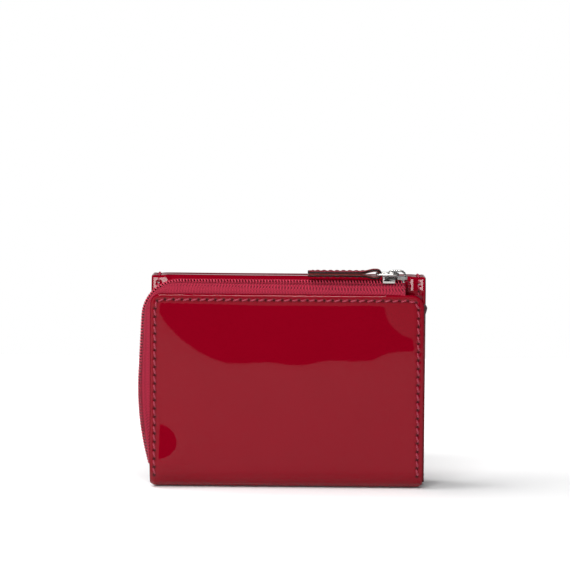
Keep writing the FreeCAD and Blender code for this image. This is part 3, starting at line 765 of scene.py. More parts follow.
ROW_IN = 3.0                # from the strip's and the flap's edges to their stitches
STRIP_EXTRA = 0.9           # the strip is longer than its CAD solid by this, at its right end
FLAP_BULGE = 0.8
PRESS_WIDTH = 8.5           # of the flats pressed on the back crease's ends
PRESS_HALF, PRESS_SLANT = 0.35, 0.44  # half the angle that a flat spans on the bend, and its slant
BACK_PATH = rounded([(SPINE_MIDDLE, SPINE_TOP, 0), (BACK_FACE, SPINE_TOP, BACK_BEND),
                     (BACK_FACE, STRIP_FOOT, 0)])
FLAP_PATH = rounded([(FLAP_FACE, FLAP_END, 0), (FLAP_FACE, SPINE_TOP, FLAP_BEND),
                     (SPINE_MIDDLE, SPINE_TOP, 0)])
BACK_CREASE = ((0, BACK_FACE, SPINE_TOP - BACK_BEND), (0, BACK_FACE + BACK_BEND, SPINE_TOP))
FLAP_CREASE = ((0, FLAP_FACE - FLAP_BEND, SPINE_TOP), (0, FLAP_FACE, SPINE_TOP - FLAP_BEND))
BACK_STITCHES, FLAP_STITCHES = 5, 4      # stitches from the spine's middle down either side
SPINE_ROW_END = 18.0        # no holes past this distance from the spine's middle
FLAP_LENGTH = length_of(FLAP_PATH)


def over_crease(piece, crease, nodes):
    """Bake a piece's place into its mesh and let it stand for CAD nodes."""
    Vector(crease[0]) * MM
    Vector(crease[1]) * MM
    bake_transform(piece)
    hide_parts(*nodes)


def crease_seam(path, x, distances):
    """A seam over the strip at one X, with holes at distances along a path."""
    at, normal = along(path, distances)
    level = np.full(len(distances), x)
    return Seam(np.column_stack([level, at]), np.column_stack([0 * level, normal]))


flap_row = panel_row(FLAP_FACE, -HALF + ROW_IN, HALF - ROW_IN,
                     FLAP_END + FLAP_LENGTH - FLAP_STITCHES * STITCH_PITCH, FLAP_END + ROW_IN,
                     [FLAP_CORNER - ROW_IN] * 2)


def spine_relief(x, z, distance, edge):
    """Both creases and the spine; distance is measured from the spine's middle."""
    off_row = np.abs(np.abs(x) - (HALF - ROW_IN))
    valley = 0.22 * np.exp(-(off_row / 1.5) ** 2)
    holes = 0.16 * np.exp(-(off_row / 0.6) ** 2) * (1 + np.cos(2 * math.pi * distance / STITCH_PITCH))
    sag = 0.25 * np.clip(1 - (x / HALF) ** 2, 0, 1) * np.clip(1 - np.abs(distance) / 9, 0, 1)
    upper = np.clip((z - SPINE_TOP + 18) / 5, 0, 1)
    face = -(valley + holes) * upper - rolled(edge, 0.3, 1.8)
    return face, 0.4 * ripple(x, 3 * distance) * upper - sag


def pressed_end(x, distance):
    """Near its ends the back crease is pressed flat at a slant: a chord in place of part of the bend."""
    start = SPINE_MIDDLE - BACK_FACE - BACK_BEND
    turn = math.pi / 2 - np.clip((distance - start) / BACK_BEND, 0.02, math.pi / 2 - 0.09)
    chord = BACK_BEND * math.cos(PRESS_HALF) / np.cos(turn - PRESS_SLANT)
    roof = BACK_BEND / np.sin(turn)
    on_bend = np.clip((distance - start) / 1.5, 0, 1)
    share = np.clip((np.abs(x) - HALF + PRESS_WIDTH) / 2.0, 0, 1)
    return (np.minimum(chord, roof) - BACK_BEND) * on_bend * eased(share)


def back_relief(y, z, x, edge, run):
    face, body = spine_relief(x, z, run, edge)
    return face, body + pressed_end(x, run)


def flap_relief(y, z, x, edge, run):
    face, body = spine_relief(x, z, FLAP_LENGTH - run, edge)
    on_flap = np.clip((SPINE_TOP - FLAP_BEND - z) / 4, 0, 1)
    press = 0.25 * np.exp(-(np.hypot(x - SNAP.x, z - SNAP.z) / 7.5) ** 4)
    bulge = FLAP_BULGE * swell(x, z, FLAP_END, SPINE_TOP)
    flat_face = -rolled(edge, 0.3, 2.0) - flap_row.dents(x, z)[0]
    return face * (1 - on_flap) + flat_face * on_flap, body + (bulge + ripple(x, z) - press) * on_flap


# Painted shade in the stitch holes of the flap and its crease rows.
def flap_hole_shade(y, z, x, run):
    return flap_row.dents(x, z)[1] + spine_hole_shade(x, FLAP_LENGTH - run)


# Painted shade in the stitch holes of the back crease rows.
def back_hole_shade(y, z, x, run):
    return spine_hole_shade(x, run)


# Painted shade in the stitch holes of the strip's crease rows, near the spine.
def spine_hole_shade(x, distance):
    off_row = np.abs(x) - (HALF - ROW_IN)
    off_hole = np.mod(distance + STITCH_PITCH / 2, STITCH_PITCH) - STITCH_PITCH / 2
    return np.exp(-(np.hypot(off_row, off_hole) / HOLE_R) ** 4) * (distance < SPINE_ROW_END)


def widened(points):
    """The strip stands out a little further than the panels at its right end."""
    x = points[..., :1]
    return np.concatenate([x + STRIP_EXTRA / 2 * (1 + x / HALF), points[..., 1:]], -1)


def widened_section(u, v, w):
    return widened(over_width(u, v, w))


def make_strip():
    back = bent_sheet("back_leather", BACK_PATH, -HALF, HALF, LEATHER, widened_section, STRIP_PATENT,
                      (0.8, 0.6), relief=back_relief, holes=back_hole_shade, open_start=True)
    flap = bent_sheet("flap_face_leather", FLAP_PATH, -HALF, HALF, LEATHER, widened_section, STRIP_PATENT,
                      (0.65, 0.6), radii=(FLAP_CORNER, FLAP_CORNER, 0, 0), relief=flap_relief,
                      holes=flap_hole_shade, open_end=True)
    over_crease(back, BACK_CREASE, ["back_panel"])
    over_crease(flap, FLAP_CREASE, ["spine_leather", "flap_leather"])
    steps = np.arange(max(BACK_STITCHES, FLAP_STITCHES) + 1) * STITCH_PITCH
    sides = (-HALF + ROW_IN, HALF - ROW_IN)
    back_rows = [crease_seam(BACK_PATH, x, steps[:BACK_STITCHES + 1]) for x in sides]
    flap_rows = [crease_seam(FLAP_PATH, x, FLAP_LENGTH - steps[:FLAP_STITCHES + 1]) for x in sides]
    for name, seams, crease, nodes in (
            ("back_thread", back_rows, BACK_CREASE, ["back_panel_stitching", "spine_stitching"]),
            ("flap_thread", flap_rows + [flap_row], FLAP_CREASE, ["flap_stitching"])):
        parts = [(widened(points), faces) for seam in seams for points, faces in seam.thread(rise=0.04)]
        over_crease(joined(name, parts, THREAD), crease, nodes)


# Linings

# A lining inside a bend is shorter than the leather's face by about this much
FOOT_SHORTER, CREASE_SHORTER = 2, 3


def shell(name, middle, thickness, material, attributes=None):
    """A sheet of even thickness about a grid of points, thinning to nothing round its border."""
    down, over = np.gradient(middle, axis=0), np.gradient(middle, axis=1)
    normal = np.cross(down, over)
    normal /= np.linalg.norm(normal, axis=-1, keepdims=True)
    steps = [np.linalg.norm(np.diff(middle, axis=axis), axis=-1) for axis in (0, 1)]
    marks = [np.insert(np.cumsum(step, axis=axis), 0, 0, axis=axis) for axis, step in enumerate(steps)]
    edge = np.minimum.reduce([marks[0], marks[0][-1:] - marks[0], marks[1], marks[1][:, -1:] - marks[1]])
    share = np.clip(edge / (thickness / 2), 0, 1)
    half = thickness / 2 * np.sqrt(1 - (1 - share) ** 2)
    lift = normal * half[..., None]
    doubled = {key: np.concatenate([values.ravel()] * 2) for key, values in (attributes or {}).items()}
    return layered(name, middle + lift, middle - lift, material, doubled)


def lining_relief(y, z, x, edge, run):
    """Cloth glued to a panel: barely uneven."""
    return 0, 0.05 * np.sin(x / 6.1 + 1.0) * np.sin(run / 7.7) * np.clip(edge / 4, 0, 1)


def following(lift):
    """The relief of a sheet that lies behind a panel and follows its swell above the bottom fold."""
    return lambda y, z, x, edge, run: (0, lift(x, z) * (z > FOLD_TOP))


def make_cover_linings():
    """One lining up the pocket panel and under the coin pocket, one in the note pocket's front."""
    coin_high = box_mm("pocket_panel_lining")[1]
    note_low, note_high = box_mm("front_panel_lining")
    half = coin_high.x
    coin = rounded([(POCKET_FACE, coin_high.z, 0), (POCKET_FACE, 0, POCKET_BEND), (coin_high.y, 0, 0)])
    note = rounded([(note_low.y, 0, 0), (FRONT_FACE, 0, FRONT_BEND), (FRONT_FACE, note_high.z, 0)])
    for name, path, radii, lift, cad in (
            ("coin_pocket_lining", coin, (4, 5, 0, 0), pocket_lift, "pocket_panel_lining"),
            ("note_pocket_front_lining", note, (0, 0, 5, 5), front_lift, "front_panel_lining")):
        piece = bent_sheet(name, path, -half, half, LINING, over_width, LINING_CLOTH, (1.2, 1.0),
                           depth=UNDER_LINING, radii=radii, relief=following(lift))
        settle(piece, "body", "lining_fabric", cad)
        length_of(path) - FOOT_SHORTER


def make_strip_linings():
    """The lining behind the back panel and that of the flap, meeting in the middle of the spine."""
    half = box_mm("spine_lining")[1].x
    low = box_mm("flap_lining")[0].z
    corner = FLAP_CORNER - 0.7
    flap_line = rounded([(FLAP_FACE, low, 0), (FLAP_FACE, SPINE_TOP, FLAP_BEND),
                         (SPINE_MIDDLE, SPINE_TOP, 0)])
    back = bent_sheet("note_pocket_back_lining", BACK_PATH, -half, half, LINING, over_width, LINING_CLOTH,
                      (1.2, 0.9), depth=UNDER_LINING, relief=lining_relief, open_start=True)
    flap = bent_sheet("flap_back_lining", flap_line, -half, half, LINING, over_width, LINING_CLOTH,
                      (1.2, 0.9), depth=UNDER_LINING, radii=(corner, corner, 0, 0), relief=lining_relief,
                      open_end=True)
    for piece, crease, path, nodes, rest in (
            (back, BACK_CREASE, BACK_PATH, ["note_pocket_lining"], "back_leather"),
            (flap, FLAP_CREASE, flap_line, ["spine_lining", "flap_lining"], "flap_face_leather")):
        over_crease(piece, crease, nodes)
        length_of(path) - CREASE_SHORTER


def make_coin_back_lining():
    low, high = box_mm("coin_pocket_back_lining")
    rows, cols = np.linspace(high.z, low.z, 80), np.linspace(low.x, high.x, 110)
    z, x = np.meshgrid(rows, cols, indexing="ij")
    wave = 0.06 * np.sin(x / 9 + 0.4) * np.sin(z / 13)
    middle = np.stack([x, (low.y + high.y) / 2 + wave * np.clip((high.z - z) / 6, 0, 1), z], -1)
    piece = shell("coin_pocket_wall_lining", middle, LINING, LINING_CLOTH)
    settle(piece, "body", "lining_fabric", "coin_pocket_back_lining")


# Gussets

def ruled_wall(name, outlines, z0, z1, cad):
    """An upright wall of cloth through outlines in X and Y, given for shares of its height."""
    heights = np.linspace(z0, z1, 120)
    share = (heights - z0) / (z1 - z0)
    shapes = np.array([along(line, np.linspace(0, length_of(line), 60))[0] for _, line in outlines])
    marks = [mark for mark, _ in outlines]
    middle = np.empty((len(heights), shapes.shape[1], 3))
    for column in range(shapes.shape[1]):
        for axis in (0, 1):
            middle[:, column, axis] = np.interp(share, marks, shapes[:, column, axis])
    middle[..., 2] = heights[:, None]
    # The walls take the near-black cloth of painted shade.
    piece = shell(name, middle, LINING, PAINTED_SHADE_CLOTH)
    settle(piece, "body", "lining_fabric", cad)
    width = max(length_of(line) for _, line in outlines)


def make_gussets():
    """The coin pocket's end wall, bowed out at its top, and the note pocket's walls with inward folds."""
    low, high = box_mm("coin_pocket_gusset")
    root, middle = low.x + LINING, (low.y + high.y) / 2
    near, far = low.y + LINING / 2, high.y - LINING / 2

    def bowed(out):
        return rounded([(root - 3, near, 0), (root, near, 1.0), (root + out, middle, 1.2),
                        (root, far, 1.0), (root - 3, far, 0)])

    most = high.x + 0.3 - root
    bows = {0: 1.3, 0.85: 1.5, 0.93: 1.8, 0.955: most - 0.4, 0.975: most, 0.99: most - 0.6, 1: 1.2}
    ruled_wall("coin_pocket_side_wall", [(share, bowed(out)) for share, out in bows.items()],
               low.z, high.z, "coin_pocket_gusset")
    for side, cad in ((-1, "note_gusset_left"), (1, "note_gusset_right")):
        low, high = box_mm(cad)
        inner, outer = (low.x, high.x) if side > 0 else (high.x, low.x)
        rim = outer - side * 0.3
        folded = rounded([(rim, low.y + LINING / 2, 0), (inner + side * 0.3, (low.y + high.y) / 2, 0.8),
                          (rim, high.y - LINING / 2, 0)])
        name = cad.replace("note_gusset", "note_pocket_wall")
        ruled_wall(name, [(0, folded), (1, folded)], low.z, high.z, cad)


# Divider and card slots

SLOT_ROW_IN = 2.0
SLOT_PITCH = 2.8


def mouth_crease(mouth):
    """The relief of a leather pocket: a pressed line beside its mouth, and a slight bow."""
    def relief(y, z, x, edge, run):
        line = 0.12 * np.exp(-((np.abs(z - mouth) - 2.5) / 0.35) ** 2)
        return -line * np.ones_like(x), 0.05 * np.sin(x / 17.0) * np.ones_like(z)
    return relief


def leather_panel(name, cad, body, faces_back, mouth, radii=(0, 0, 0, 0)):
    """A flat sheet of leather for a CAD plate, drawn from its top down, or up if it faces the back."""
    low, high = box_mm(cad)
    y = high.y if faces_back else low.y
    ends = [(y, low.z, 0), (y, high.z, 0)] if faces_back else [(y, high.z, 0), (y, low.z, 0)]
    piece = bent_sheet(name, rounded(ends), low.x, high.x, high.y - low.y, over_width, SLOT_LEATHER,
                       (1.0, 0.8), radii=radii, relief=mouth_crease(mouth))
    return settle(piece, body, "card_slot_leather", cad)


def make_slots():
    """The divider and two sets of card slots, each slot sewn down to beside the next one's mouth."""
    mouth = box_mm("note_divider")[1].z
    leather_panel("note_divider_leather", "note_divider", "body", True, mouth, (0, 0, 3, 3))
    seams, flap_seams = [], []
    for number in (1, 2, 3):
        low, high = box_mm(f"card_slot_{number}")
        leather_panel(f"card_slot_leather_{number}", f"card_slot_{number}", "body", True, high.z)
        flap_low, flap_high = box_mm(f"flap_card_slot_{number}")
        leather_panel(f"flap_slot_leather_{number}", f"flap_card_slot_{number}", "flap", False, flap_low.z)
        last = number == 3
        below = low.z + SLOT_ROW_IN if last else box_mm(f"card_slot_{number + 1}")[1].z
        above = flap_high.z - SLOT_ROW_IN if last else box_mm(f"flap_card_slot_{number + 1}")[0].z
        for x in (low.x + SLOT_ROW_IN, high.x - SLOT_ROW_IN):
            line = np.array([(x, high.y, high.z - 1), (x, high.y, below + 0.6)])
            seams.append(row(line, (0, 1, 0), SLOT_PITCH))
            line = np.array([(x, flap_low.y, flap_low.z + 1), (x, flap_low.y, above - 0.6)])
            flap_seams.append(row(line, (0, -1, 0), SLOT_PITCH))
    for name, rows, body in (("card_slot_thread", seams, "body"), ("flap_slot_thread", flap_seams, "flap")):
        sew(name, rows, body, "thread", [], radius=0.2, slant=0.08, rise=0.1)


# Zip

CHAIN_PATH = rounded([(TAPE_END, CHAIN_TOP, 0), (CHAIN_SIDE, CHAIN_TOP, CHAIN_CORNER), (*CHAIN_BULGE, 120),
                      (*CHAIN_FOOT, 0)])
EDGE_PATH = rounded([(TAPE_END, POCKET_TOP, 0), (-HALF, POCKET_TOP, ZIP_CORNER),
                     (-HALF, POCKET_BEND + 0.3, 0)])
TAPE_REACH = 2.1            # from the middle of the chain to where the tape leaves the teeth
TAPE_MARGIN = 4.0           # sewn in behind the panel's edge
TAPE_THICK = 0.4

# One loop of the coil: along the chain, above its lowest line and across it, then its thickness and shade
LOOP = [(-0.34, -1.02, 2.05), (-0.28, -0.55, 2.28), (-0.16, -0.16, 1.9), (0.0, 0.02, 1.1), (0.08, -0.1, 0.2),
        (0.12, -0.38, -0.42), (0.14, -0.72, -0.1), (0.22, -0.9, 0.9), (0.3, -1.0, 1.8)]
LOOP_RADII = [0.2, 0.27, 0.3, 0.31, 0.33, 0.36, 0.3, 0.26, 0.2]
# Painted shade along a loop: none on its outer side and top, full on its far side and underneath.
LOOP_SHADE = [0, 0, 0, 0.25, 0.7, 1, 1, 1, 1]


def chain_frames(spots):
    """Points on the teeth's outer line, directions along it and outward normals, in X and Z."""
    at, normal = along(CHAIN_PATH, spots)
    return at, np.stack([-normal[..., 1], normal[..., 0]], -1), normal


def edge_points(shares):
    """Points along the panel's edge at shares of the chain's length, the two corners in step."""
    chain, edge = length_of(CHAIN_PATH), length_of(EDGE_PATH)
    turn_chain = TAPE_END - CHAIN_SIDE - CHAIN_CORNER
    turn_edge = TAPE_END + HALF - ZIP_CORNER
    marks = [0, turn_chain, turn_chain + CHAIN_CORNER * math.pi / 2, chain]
    places = [0, turn_edge, turn_edge + ZIP_CORNER * math.pi / 2, edge]
    return along(EDGE_PATH, np.interp(shares * chain, marks, places))


def chaikin(lines):
    """Three rounds of corner cutting along the second axis of a grid of points."""
    for _ in range(3):
        ahead = 0.75 * lines[:, :-1] + 0.25 * lines[:, 1:]
        behind = 0.25 * lines[:, :-1] + 0.75 * lines[:, 1:]
        middle = np.stack([ahead, behind], 2).reshape(len(lines), -1, 3)
        lines = np.concatenate([lines[:, :1], middle, lines[:, -1:]], 1)
    return lines


def make_tape(side, name, cad):
    """A half tape from under the teeth over the ridge to its sewn-in margin."""
    total = length_of(CHAIN_PATH)
    spots = graded(total, 0.7, TAPE_THICK)
    at, _, out = chain_frames(spots)
    edge, edge_out = edge_points(spots / total)
    seam = box_mm(cad)[0].y + TAPE_THICK / 2 if side < 0 else box_mm(cad)[1].y - TAPE_THICK / 2
    under = at - out * (TOOTH_HEIGHT + TAPE_THICK / 2)
    ridge = 0.55 * under + 0.45 * edge + out * 0.5
    root = CHAIN_Y + side * TAPE_REACH
    lines = [(under, CHAIN_Y + side * 0.12), (under, root), (ridge, (root + seam) / 2),
             (edge - edge_out * 0.1, seam), (edge - edge_out * TAPE_MARGIN, seam)]
    grid = chaikin(np.stack([on_face(path, y) for path, y in lines], 1))
    reach = np.insert(np.cumsum(np.linalg.norm(np.diff(grid, axis=1), axis=-1), axis=1), 0, 0, axis=1)
    run = np.broadcast_to(spots[:, None], reach.shape)
    piece = shell(name, grid, TAPE_THICK, TAPE_WEAVE, {"run": run, "reach": reach})
    settle(piece, "body", "zip_tape", cad)


def tooth(at, ahead, out, side):
    """One loop of the coil, from its root over the chain to its head and back underneath."""
    points = []
    for along_chain, height, across in LOOP:
        x, z = at + ahead * along_chain + out * (height - 0.3)
        points.append((x, CHAIN_Y + side * across, z))
    return tube(points, LOOP_RADII, 7)


def make_teeth():
    total = length_of(CHAIN_PATH)
    start = TAPE_END - box_mm("zip_teeth_outer")[1].x
    count = int((total - start - 1.2) / TOOTH_PITCH)
    for side, half in ((-1, "outer"), (1, "inner")):
        shift = 0 if side < 0 else TOOTH_PITCH / 2
        at, ahead, out = chain_frames(start + shift + np.arange(count) * TOOTH_PITCH)
        parts = [tooth(*frame_at, side) for frame_at in zip(at, ahead, out)]
        # Painted shade for every point of the coil.
        inside = np.repeat(LOOP_SHADE, len(parts[0][0]) // len(LOOP))
        coil = joined(f"zip_coil_{half}", parts, COIL, {"inside": np.tile(inside, len(parts))})
        settle(coil, "body", "zip_teeth", f"zip_teeth_{half}")


def make_stops():
    low, high = box_mm("zip_top_stops")
    off_middle, half = 1.1, 0.8
    tops = [block((low.x, y - half, low.z), (high.x, y + half, high.z), 0.3)
            for y in (CHAIN_Y - off_middle, CHAIN_Y + off_middle)]
    metal("zip_stop_clips", tops, "body", "zip_top_stops")
    metal("zip_foot_clip", [block(*box_mm("zip_bottom_stop"), 0.3)], "body", "zip_bottom_stop")


def make_end_tab():
    """The tape's end, folded over and held by a few stitches."""
    low, high = box_mm("zip_end_tab")
    path = chaikin(np.array([[(low.x - 0.6, 0, high.z - 0.3), (high.x - 0.2, 0, high.z - 0.1),
                              (high.x, 0, high.z - 1.2), (high.x - 0.1, 0, low.z)]]))[0]
    spread = np.linspace(low.y + 0.1, high.y - 0.1, 24)
    bow = 0.25 * np.cos(math.pi * np.linspace(-1, 1, 24))
    grid = np.stack([np.stack([path[:, 0] + b * 0.3, 0 * path[:, 0] + y, path[:, 2]], -1)
                     for y, b in zip(spread, bow)], 1)
    reach = np.broadcast_to(np.abs(spread - CHAIN_Y) + 1.0, grid.shape[:2])
    run = np.broadcast_to(np.cumsum(np.full(len(path), 0.3))[:, None], grid.shape[:2])
    piece = shell("zip_end_fold", grid, 0.5, TAPE_WEAVE, {"run": run, "reach": reach})
    settle(piece, "body", "zip_tape", "zip_end_tab")
    x = TAPE_END - 0.9
    seam = row(np.array([(x, CHAIN_Y - 3.3, CHAIN_TOP - 1.9), (x, CHAIN_Y - 4.6, CHAIN_TOP - 5.4)]),
               unit(np.array((0, -0.75, 0.65))), 0.95)
    sew("zip_end_thread", [seam], "body", "thread", [], radius=0.22)


# Slider and pull

RIB_STEPS = 5               # steps along the slider's arch from one rib to the next


def make_slider():
    """Two plates joined by a post, with a lip down either side of the chain."""
    low, high = box_mm("slider_body")
    lips = low.x + 5.7
    half = (high.y - low.y) / 2
    plate_low = high.z - 1.1
    right = [(low.x, half, 1.0), (lips, half, 0), (lips + 0.8, half, 0.8), (high.x, 2.2, 1.6)]
    outline = [(x, CHAIN_Y - y, r) for x, y, r in right[1:]]
    outline += [(x, CHAIN_Y + y, r) for x, y, r in right[::-1]]
    outline += [(low.x, CHAIN_Y, 0), (low.x, CHAIN_Y - half, 1.0), (lips, CHAIN_Y - half, 0)]
    parts = [slab(rounded(outline, 0.4)[:-1], plate_low, high.z, 0.35)]
    for side in (-1, 1):
        middle = CHAIN_Y + side * (half - 0.45)
        parts.append(block((low.x + 0.2, middle - 0.45, plate_low - 1.7),
                           (lips - 0.2, middle + 0.45, plate_low + 0.4), 0.4, 4))
    parts.append(block((low.x + 1, CHAIN_Y - 1.6, low.z), (high.x - 1, CHAIN_Y + 1.6, low.z + 1.0), 0.35))
    parts.append(block((high.x - 2.6, CHAIN_Y - 0.5, low.z + 0.8),
                       (high.x - 1.2, CHAIN_Y + 0.5, plate_low + 0.2), 0.2))
    metal("slider_plates", parts, "slider", "slider_body")


def make_bridge():
    """A bowed strap that narrows to its back foot, ribbed across, with a raised bead along either side."""
    low, high = box_mm("slider_bridge")
    top = high.z - 0.45
    line = rounded([(low.x + 0.5, low.z - 0.3, 0), (low.x + 0.7, top, 1.9), (high.x - 0.7, top, 2.4),
                    (high.x - 0.5, low.z - 0.3, 0)])
    at, normal = along(line, np.linspace(0, length_of(line), 61))
    half_section = [(-1, -0.55), (-1, 0.1), (-0.86, 0.36), (-0.7, 0.3), (-0.55, 0.1)]
    section = half_section + [(0, 0.16)] + [(-y, o) for y, o in half_section[::-1]]
    section += [(0.6, -0.62), (-0.6, -0.62)]
    rings, groove_shade = [], []
    for i, ((x, z), out) in enumerate(zip(at, normal)):
        half = 0.85 + 0.45 * i / (len(at) - 1)
        wave = math.cos(i * 2 * math.pi / RIB_STEPS)
        thick = 0.75 * (1 + 0.3 * wave)
        rings += [(x - out[0] * o * thick, CHAIN_Y + y * half, z - out[1] * o * thick) for y, o in section]
        # Painted shade in the grooves between the ribs.
        groove_shade += [0.5 - 0.5 * wave] * len(section)
    faces = ring_faces(len(at), len(section))
    metal("slider_arch", [(np.array(rings), faces)], "slider", "slider_bridge", {"groove_shade": groove_shade})


def make_link():
    low, high = box_mm("pull_link")
    wire = (high.z - low.z) / 2
    x0, x1, z = low.x + wire, high.x - wire, (low.z + high.z) / 2
    half = (high.y - low.y) / 2 - wire
    start = (x0 + 3, -half, 0)
    loop = rounded([start, (x1, -half, 2.2), (x1, half, 2.2), (x0, half, 1.2), (x0, -half, 1.2), start],
                   0.3)[:-1]
    points = np.column_stack([loop[:, 0], CHAIN_Y + loop[:, 1], np.full(len(loop), z)])
    metal("pull_ring", [tube(points, wire, 14, True)], "pull_link", "pull_link")


def make_pull():
    """A strap folded round the link's far bar and sewn to itself with two rows."""
    low, high = box_mm("pull_tab_leather")
    z = (low.z + high.z) / 2
    half = (high.y - low.y) / 2
    bar = box_mm("pull_link")[0].x + 0.6
    face, loop, row_in = 1.12, 2.1, 1.2
    path = rounded([(low.x, z - face, 0), (bar - 5.5, z - face, 9), (bar - 1.6, z - loop, 3),
                    (high.x, z - loop, 2.0), (high.x, z + loop, 2.0), (bar - 1.6, z + loop, 3),
                    (bar - 5.5, z + face, 9), (low.x, z + face, 0)])

    def narrow(x, _):
        share = np.clip((x - (bar - 7)) / 4, 0, 1)
        return row_in * eased(share)

    def relief(x, v, y, edge, run):
        seams = np.exp(-((np.abs(y - CHAIN_Y) - half + row_in) / 0.5) ** 2) * np.clip((bar - 4 - x) / 2, 0, 1)
        wave = np.cos(2 * math.pi * (x - low.x - row_in) / STITCH_PITCH)
        return -(0.1 + 0.07 * wave) * seams, 0.05 * np.sin(x / 4.3) * np.ones_like(y)

    leather = bent_sheet("pull_strap", path, CHAIN_Y - half, CHAIN_Y + half, 1.1, over_depth, PULL_LEATHER,
                         (0.35, 0.35), trim=narrow, relief=relief)
    settle(leather, "pull_tab", "pull_leather", "pull_tab_leather")
    inner = half - row_in
    start = low.x + row_in
    outline = rounded([(bar - 4.5, -inner, 0), (start, -inner, 0.6), (start, inner, 0.6),
                       (bar - 4.5, inner, 0)])
    seams = []
    for up in (1, -1):
        level = np.full(len(outline), z + up * face)
        seams.append(row(np.column_stack([outline[:, 0], CHAIN_Y + outline[:, 1], level]), (0, 0, up), 2.6))
    sew("pull_thread_rows", seams, "pull_tab", "pull_thread", ["pull_tab_stitching"], PULL_THREAD,
        radius=0.24, rise=0.05, sink=0.3, slant=0.1)


# Press stud

def depths(cad):
    """Least and greatest Y of a CAD node."""
    low, high = box_mm(cad)
    return low.y, high.y


def make_snap():
    """The stud and its rivet on the front panel, the socket and its cap on the flap; (radius, y) profiles."""
    base, tip = depths("snap_stud")
    stud = [(4.9, base), (5.0, base + 0.2), (4.6, base + 0.5), (2.4, base + 0.55), (1.75, base + 0.8),
            (1.7, base + 1.4), (2.0, base + 1.9), (1.8, base + 2.3), (1.2, tip), (0.3, tip)]
    metal("snap_post", [turned(stud)], "body", "snap_stud")
    near, far = depths("snap_stud_rivet")
    rivet = [(1.4, far), (1.4, near + 0.45), (3.9, near + 0.45), (4.0, near + 0.25), (3.6, near), (0.4, near)]
    metal("snap_rivet", [turned(rivet)], "body", "snap_stud_rivet")
    near, far = depths("snap_socket")
    ring = [(2.6, far), (2.6, near + 0.3), (2.9, near), (3.6, near), (4.0, near + 0.5), (4.6, near + 0.7),
            (5.0, near + 1.1), (5.0, far)]
    metal("snap_ring", [turned(ring, closed=True)], "flap", "snap_socket")
    near, far = depths("snap_cap")
    face = far - 1.0
    cap = [(1.4, near), (1.4, face - 0.25), (5.7, face - 0.25), (6.0, face), (5.9, face + 0.25),
           (5.2, face + 0.42), (4.9, face + 0.34), (4.6, face + 0.45), (3.0, far - 0.1), (1.5, far),
           (0.3, far)]
    metal("snap_button", [turned(cap)], "flap", "snap_cap")


def make_pocket_board():
    """The board in the pocket panel swells and slumps with its leather."""
    low, high = box_mm("pocket_panel_stiffener")
    path = np.array([(POCKET_FACE, high.z), (POCKET_FACE, low.z)])
    board = bent_sheet("pocket_board", path, low.x, high.x, high.y - low.y, over_width, BOARD, (2.0, 2.0),
                       depth=LEATHER, radii=(3, 3, 0, 0), relief=following(pocket_lift))
    settle(board, "body", "stiffener_board", "pocket_panel_stiffener")


def finish_boards():
    """The other stiffeners inside the leather keep their CAD shapes."""
    for name in ("base_stiffener", "front_panel_stiffener", "back_panel_stiffener",
                 "spine_stiffener", "flap_stiffener"):
        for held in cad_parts[name].material_slots:
            held.material = BOARD


# Stage

TABLE_Z = -0.03             # a hair below the wallet's foot


def table_material():
    """Matt white that glows faintly, more towards its far end, so that it fades into the white behind."""
    material = new_material("table_white", (0.90, 0.90, 0.90), 0.6, Specular_IOR_Level=0.2)
    depth = axes(object_place(material))[1]
    dress(material, Emission_Color=(1, 1, 1), Emission_Strength=depth.ramp(0.02, 0.30, 0.04, 0.5))
    return material


def softbox(name, place, aim, width, height, power):
    light = bpy.data.lights.new(name, "AREA")
    light.shape = "RECTANGLE"
    light.size, light.size_y = width, height
    light.energy = power
    lamp = bpy.data.objects.new(name, light)
    bpy.context.scene.collection.objects.link(lamp)
    lamp.location = place
    lamp.rotation_mode = "QUATERNION"
    lamp.rotation_quaternion = (Vector(aim) - Vector(place)).to_track_quat("-Z", "Y")
    return lamp


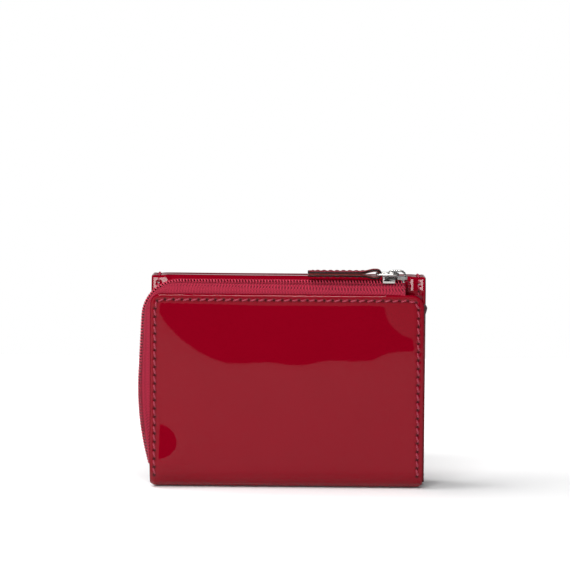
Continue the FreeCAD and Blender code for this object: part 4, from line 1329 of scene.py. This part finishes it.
def make_stage():
    """A white table that ends before the camera, white behind it, and a dark studio to be mirrored."""
    corners = [(-900, -900, TABLE_Z), (900, -900, TABLE_Z), (900, 500, TABLE_Z), (-900, 500, TABLE_Z)]
    table = mesh_object("table", corners, [(0, 1, 2, 3)], table_material())
    make_world()
    softbox("key", (-0.10, -0.9, 0.95), (0, 0, 0.04), 0.62, 0.27, power=11)
    softbox("top", (-0.55, 0.02, 1.1), (0, 0, 0), 0.9, 0.9, power=14).visible_glossy = False
    bpy.context.scene.view_settings.view_transform = "Standard"


def make_world():
    """White to the camera; to everything else a white tent, dark overhead and in its opening in front."""
    world = bpy.data.worlds.new("tent")
    bpy.context.scene.world = world
    world.use_nodes = True
    x, y, z = axes(node(world, "ShaderNodeTexCoord", "Generated"))
    ahead = (y * -1.0).ramp(0.0, 0.1)
    eaves = ahead * 0.51 + 0.01
    roof = ((z - eaves) * 10.0).clamped()
    left, right, above = x.ramp(-0.15, -0.165), (x + z * 1.2).ramp(0.155, 0.17), z.ramp(0.11, 0.13)
    walls = left.apply("MAXIMUM", right).apply("MAXIMUM", above)
    white = (1.0 - ahead * (1.0 - walls)) * (1.0 - roof)
    tent = white.mix((0.012, 0.010, 0.011), x.ramp(-0.5, 0.5).mix((1.25, 1.25, 1.27), (0.5, 0.5, 0.52)))
    seen = node(world, "ShaderNodeLightPath", "Is Camera Ray")
    plug(seen.mix(tent, (1.0, 1.0, 1.0)), world, world.node_tree.nodes["Background"].inputs["Color"])


def make_camera():
    """Five degrees above the table, level but for a slight roll."""
    rise, roll, distance = math.radians(5), math.radians(0.45), 1.5
    camera = bpy.data.objects.new("camera", bpy.data.cameras.new("camera"))
    bpy.context.scene.collection.objects.link(camera)
    camera.data.lens = 224
    camera.data.sensor_width = 36
    back = Vector((0, -math.cos(rise), math.sin(rise)))
    camera.location = Vector((-0.0011, 0, 0.085)) + distance * back
    camera.rotation_mode = "QUATERNION"
    camera.rotation_quaternion = (-back).to_track_quat("-Z", "Y") @ Quaternion((0, 0, 1), roll)
    bpy.context.scene.camera = camera


make_cover()
make_strip()
make_cover_linings()
make_strip_linings()
make_coin_back_lining()
make_gussets()
make_slots()
make_tape(-1, "zip_weave_outer", "zip_tape_outer")
make_tape(1, "zip_weave_inner", "zip_tape_inner")
make_teeth()
make_stops()
make_end_tab()
make_slider()
make_bridge()
make_link()
make_pull()
make_snap()
make_pocket_board()
finish_boards()
make_stage()
make_camera()
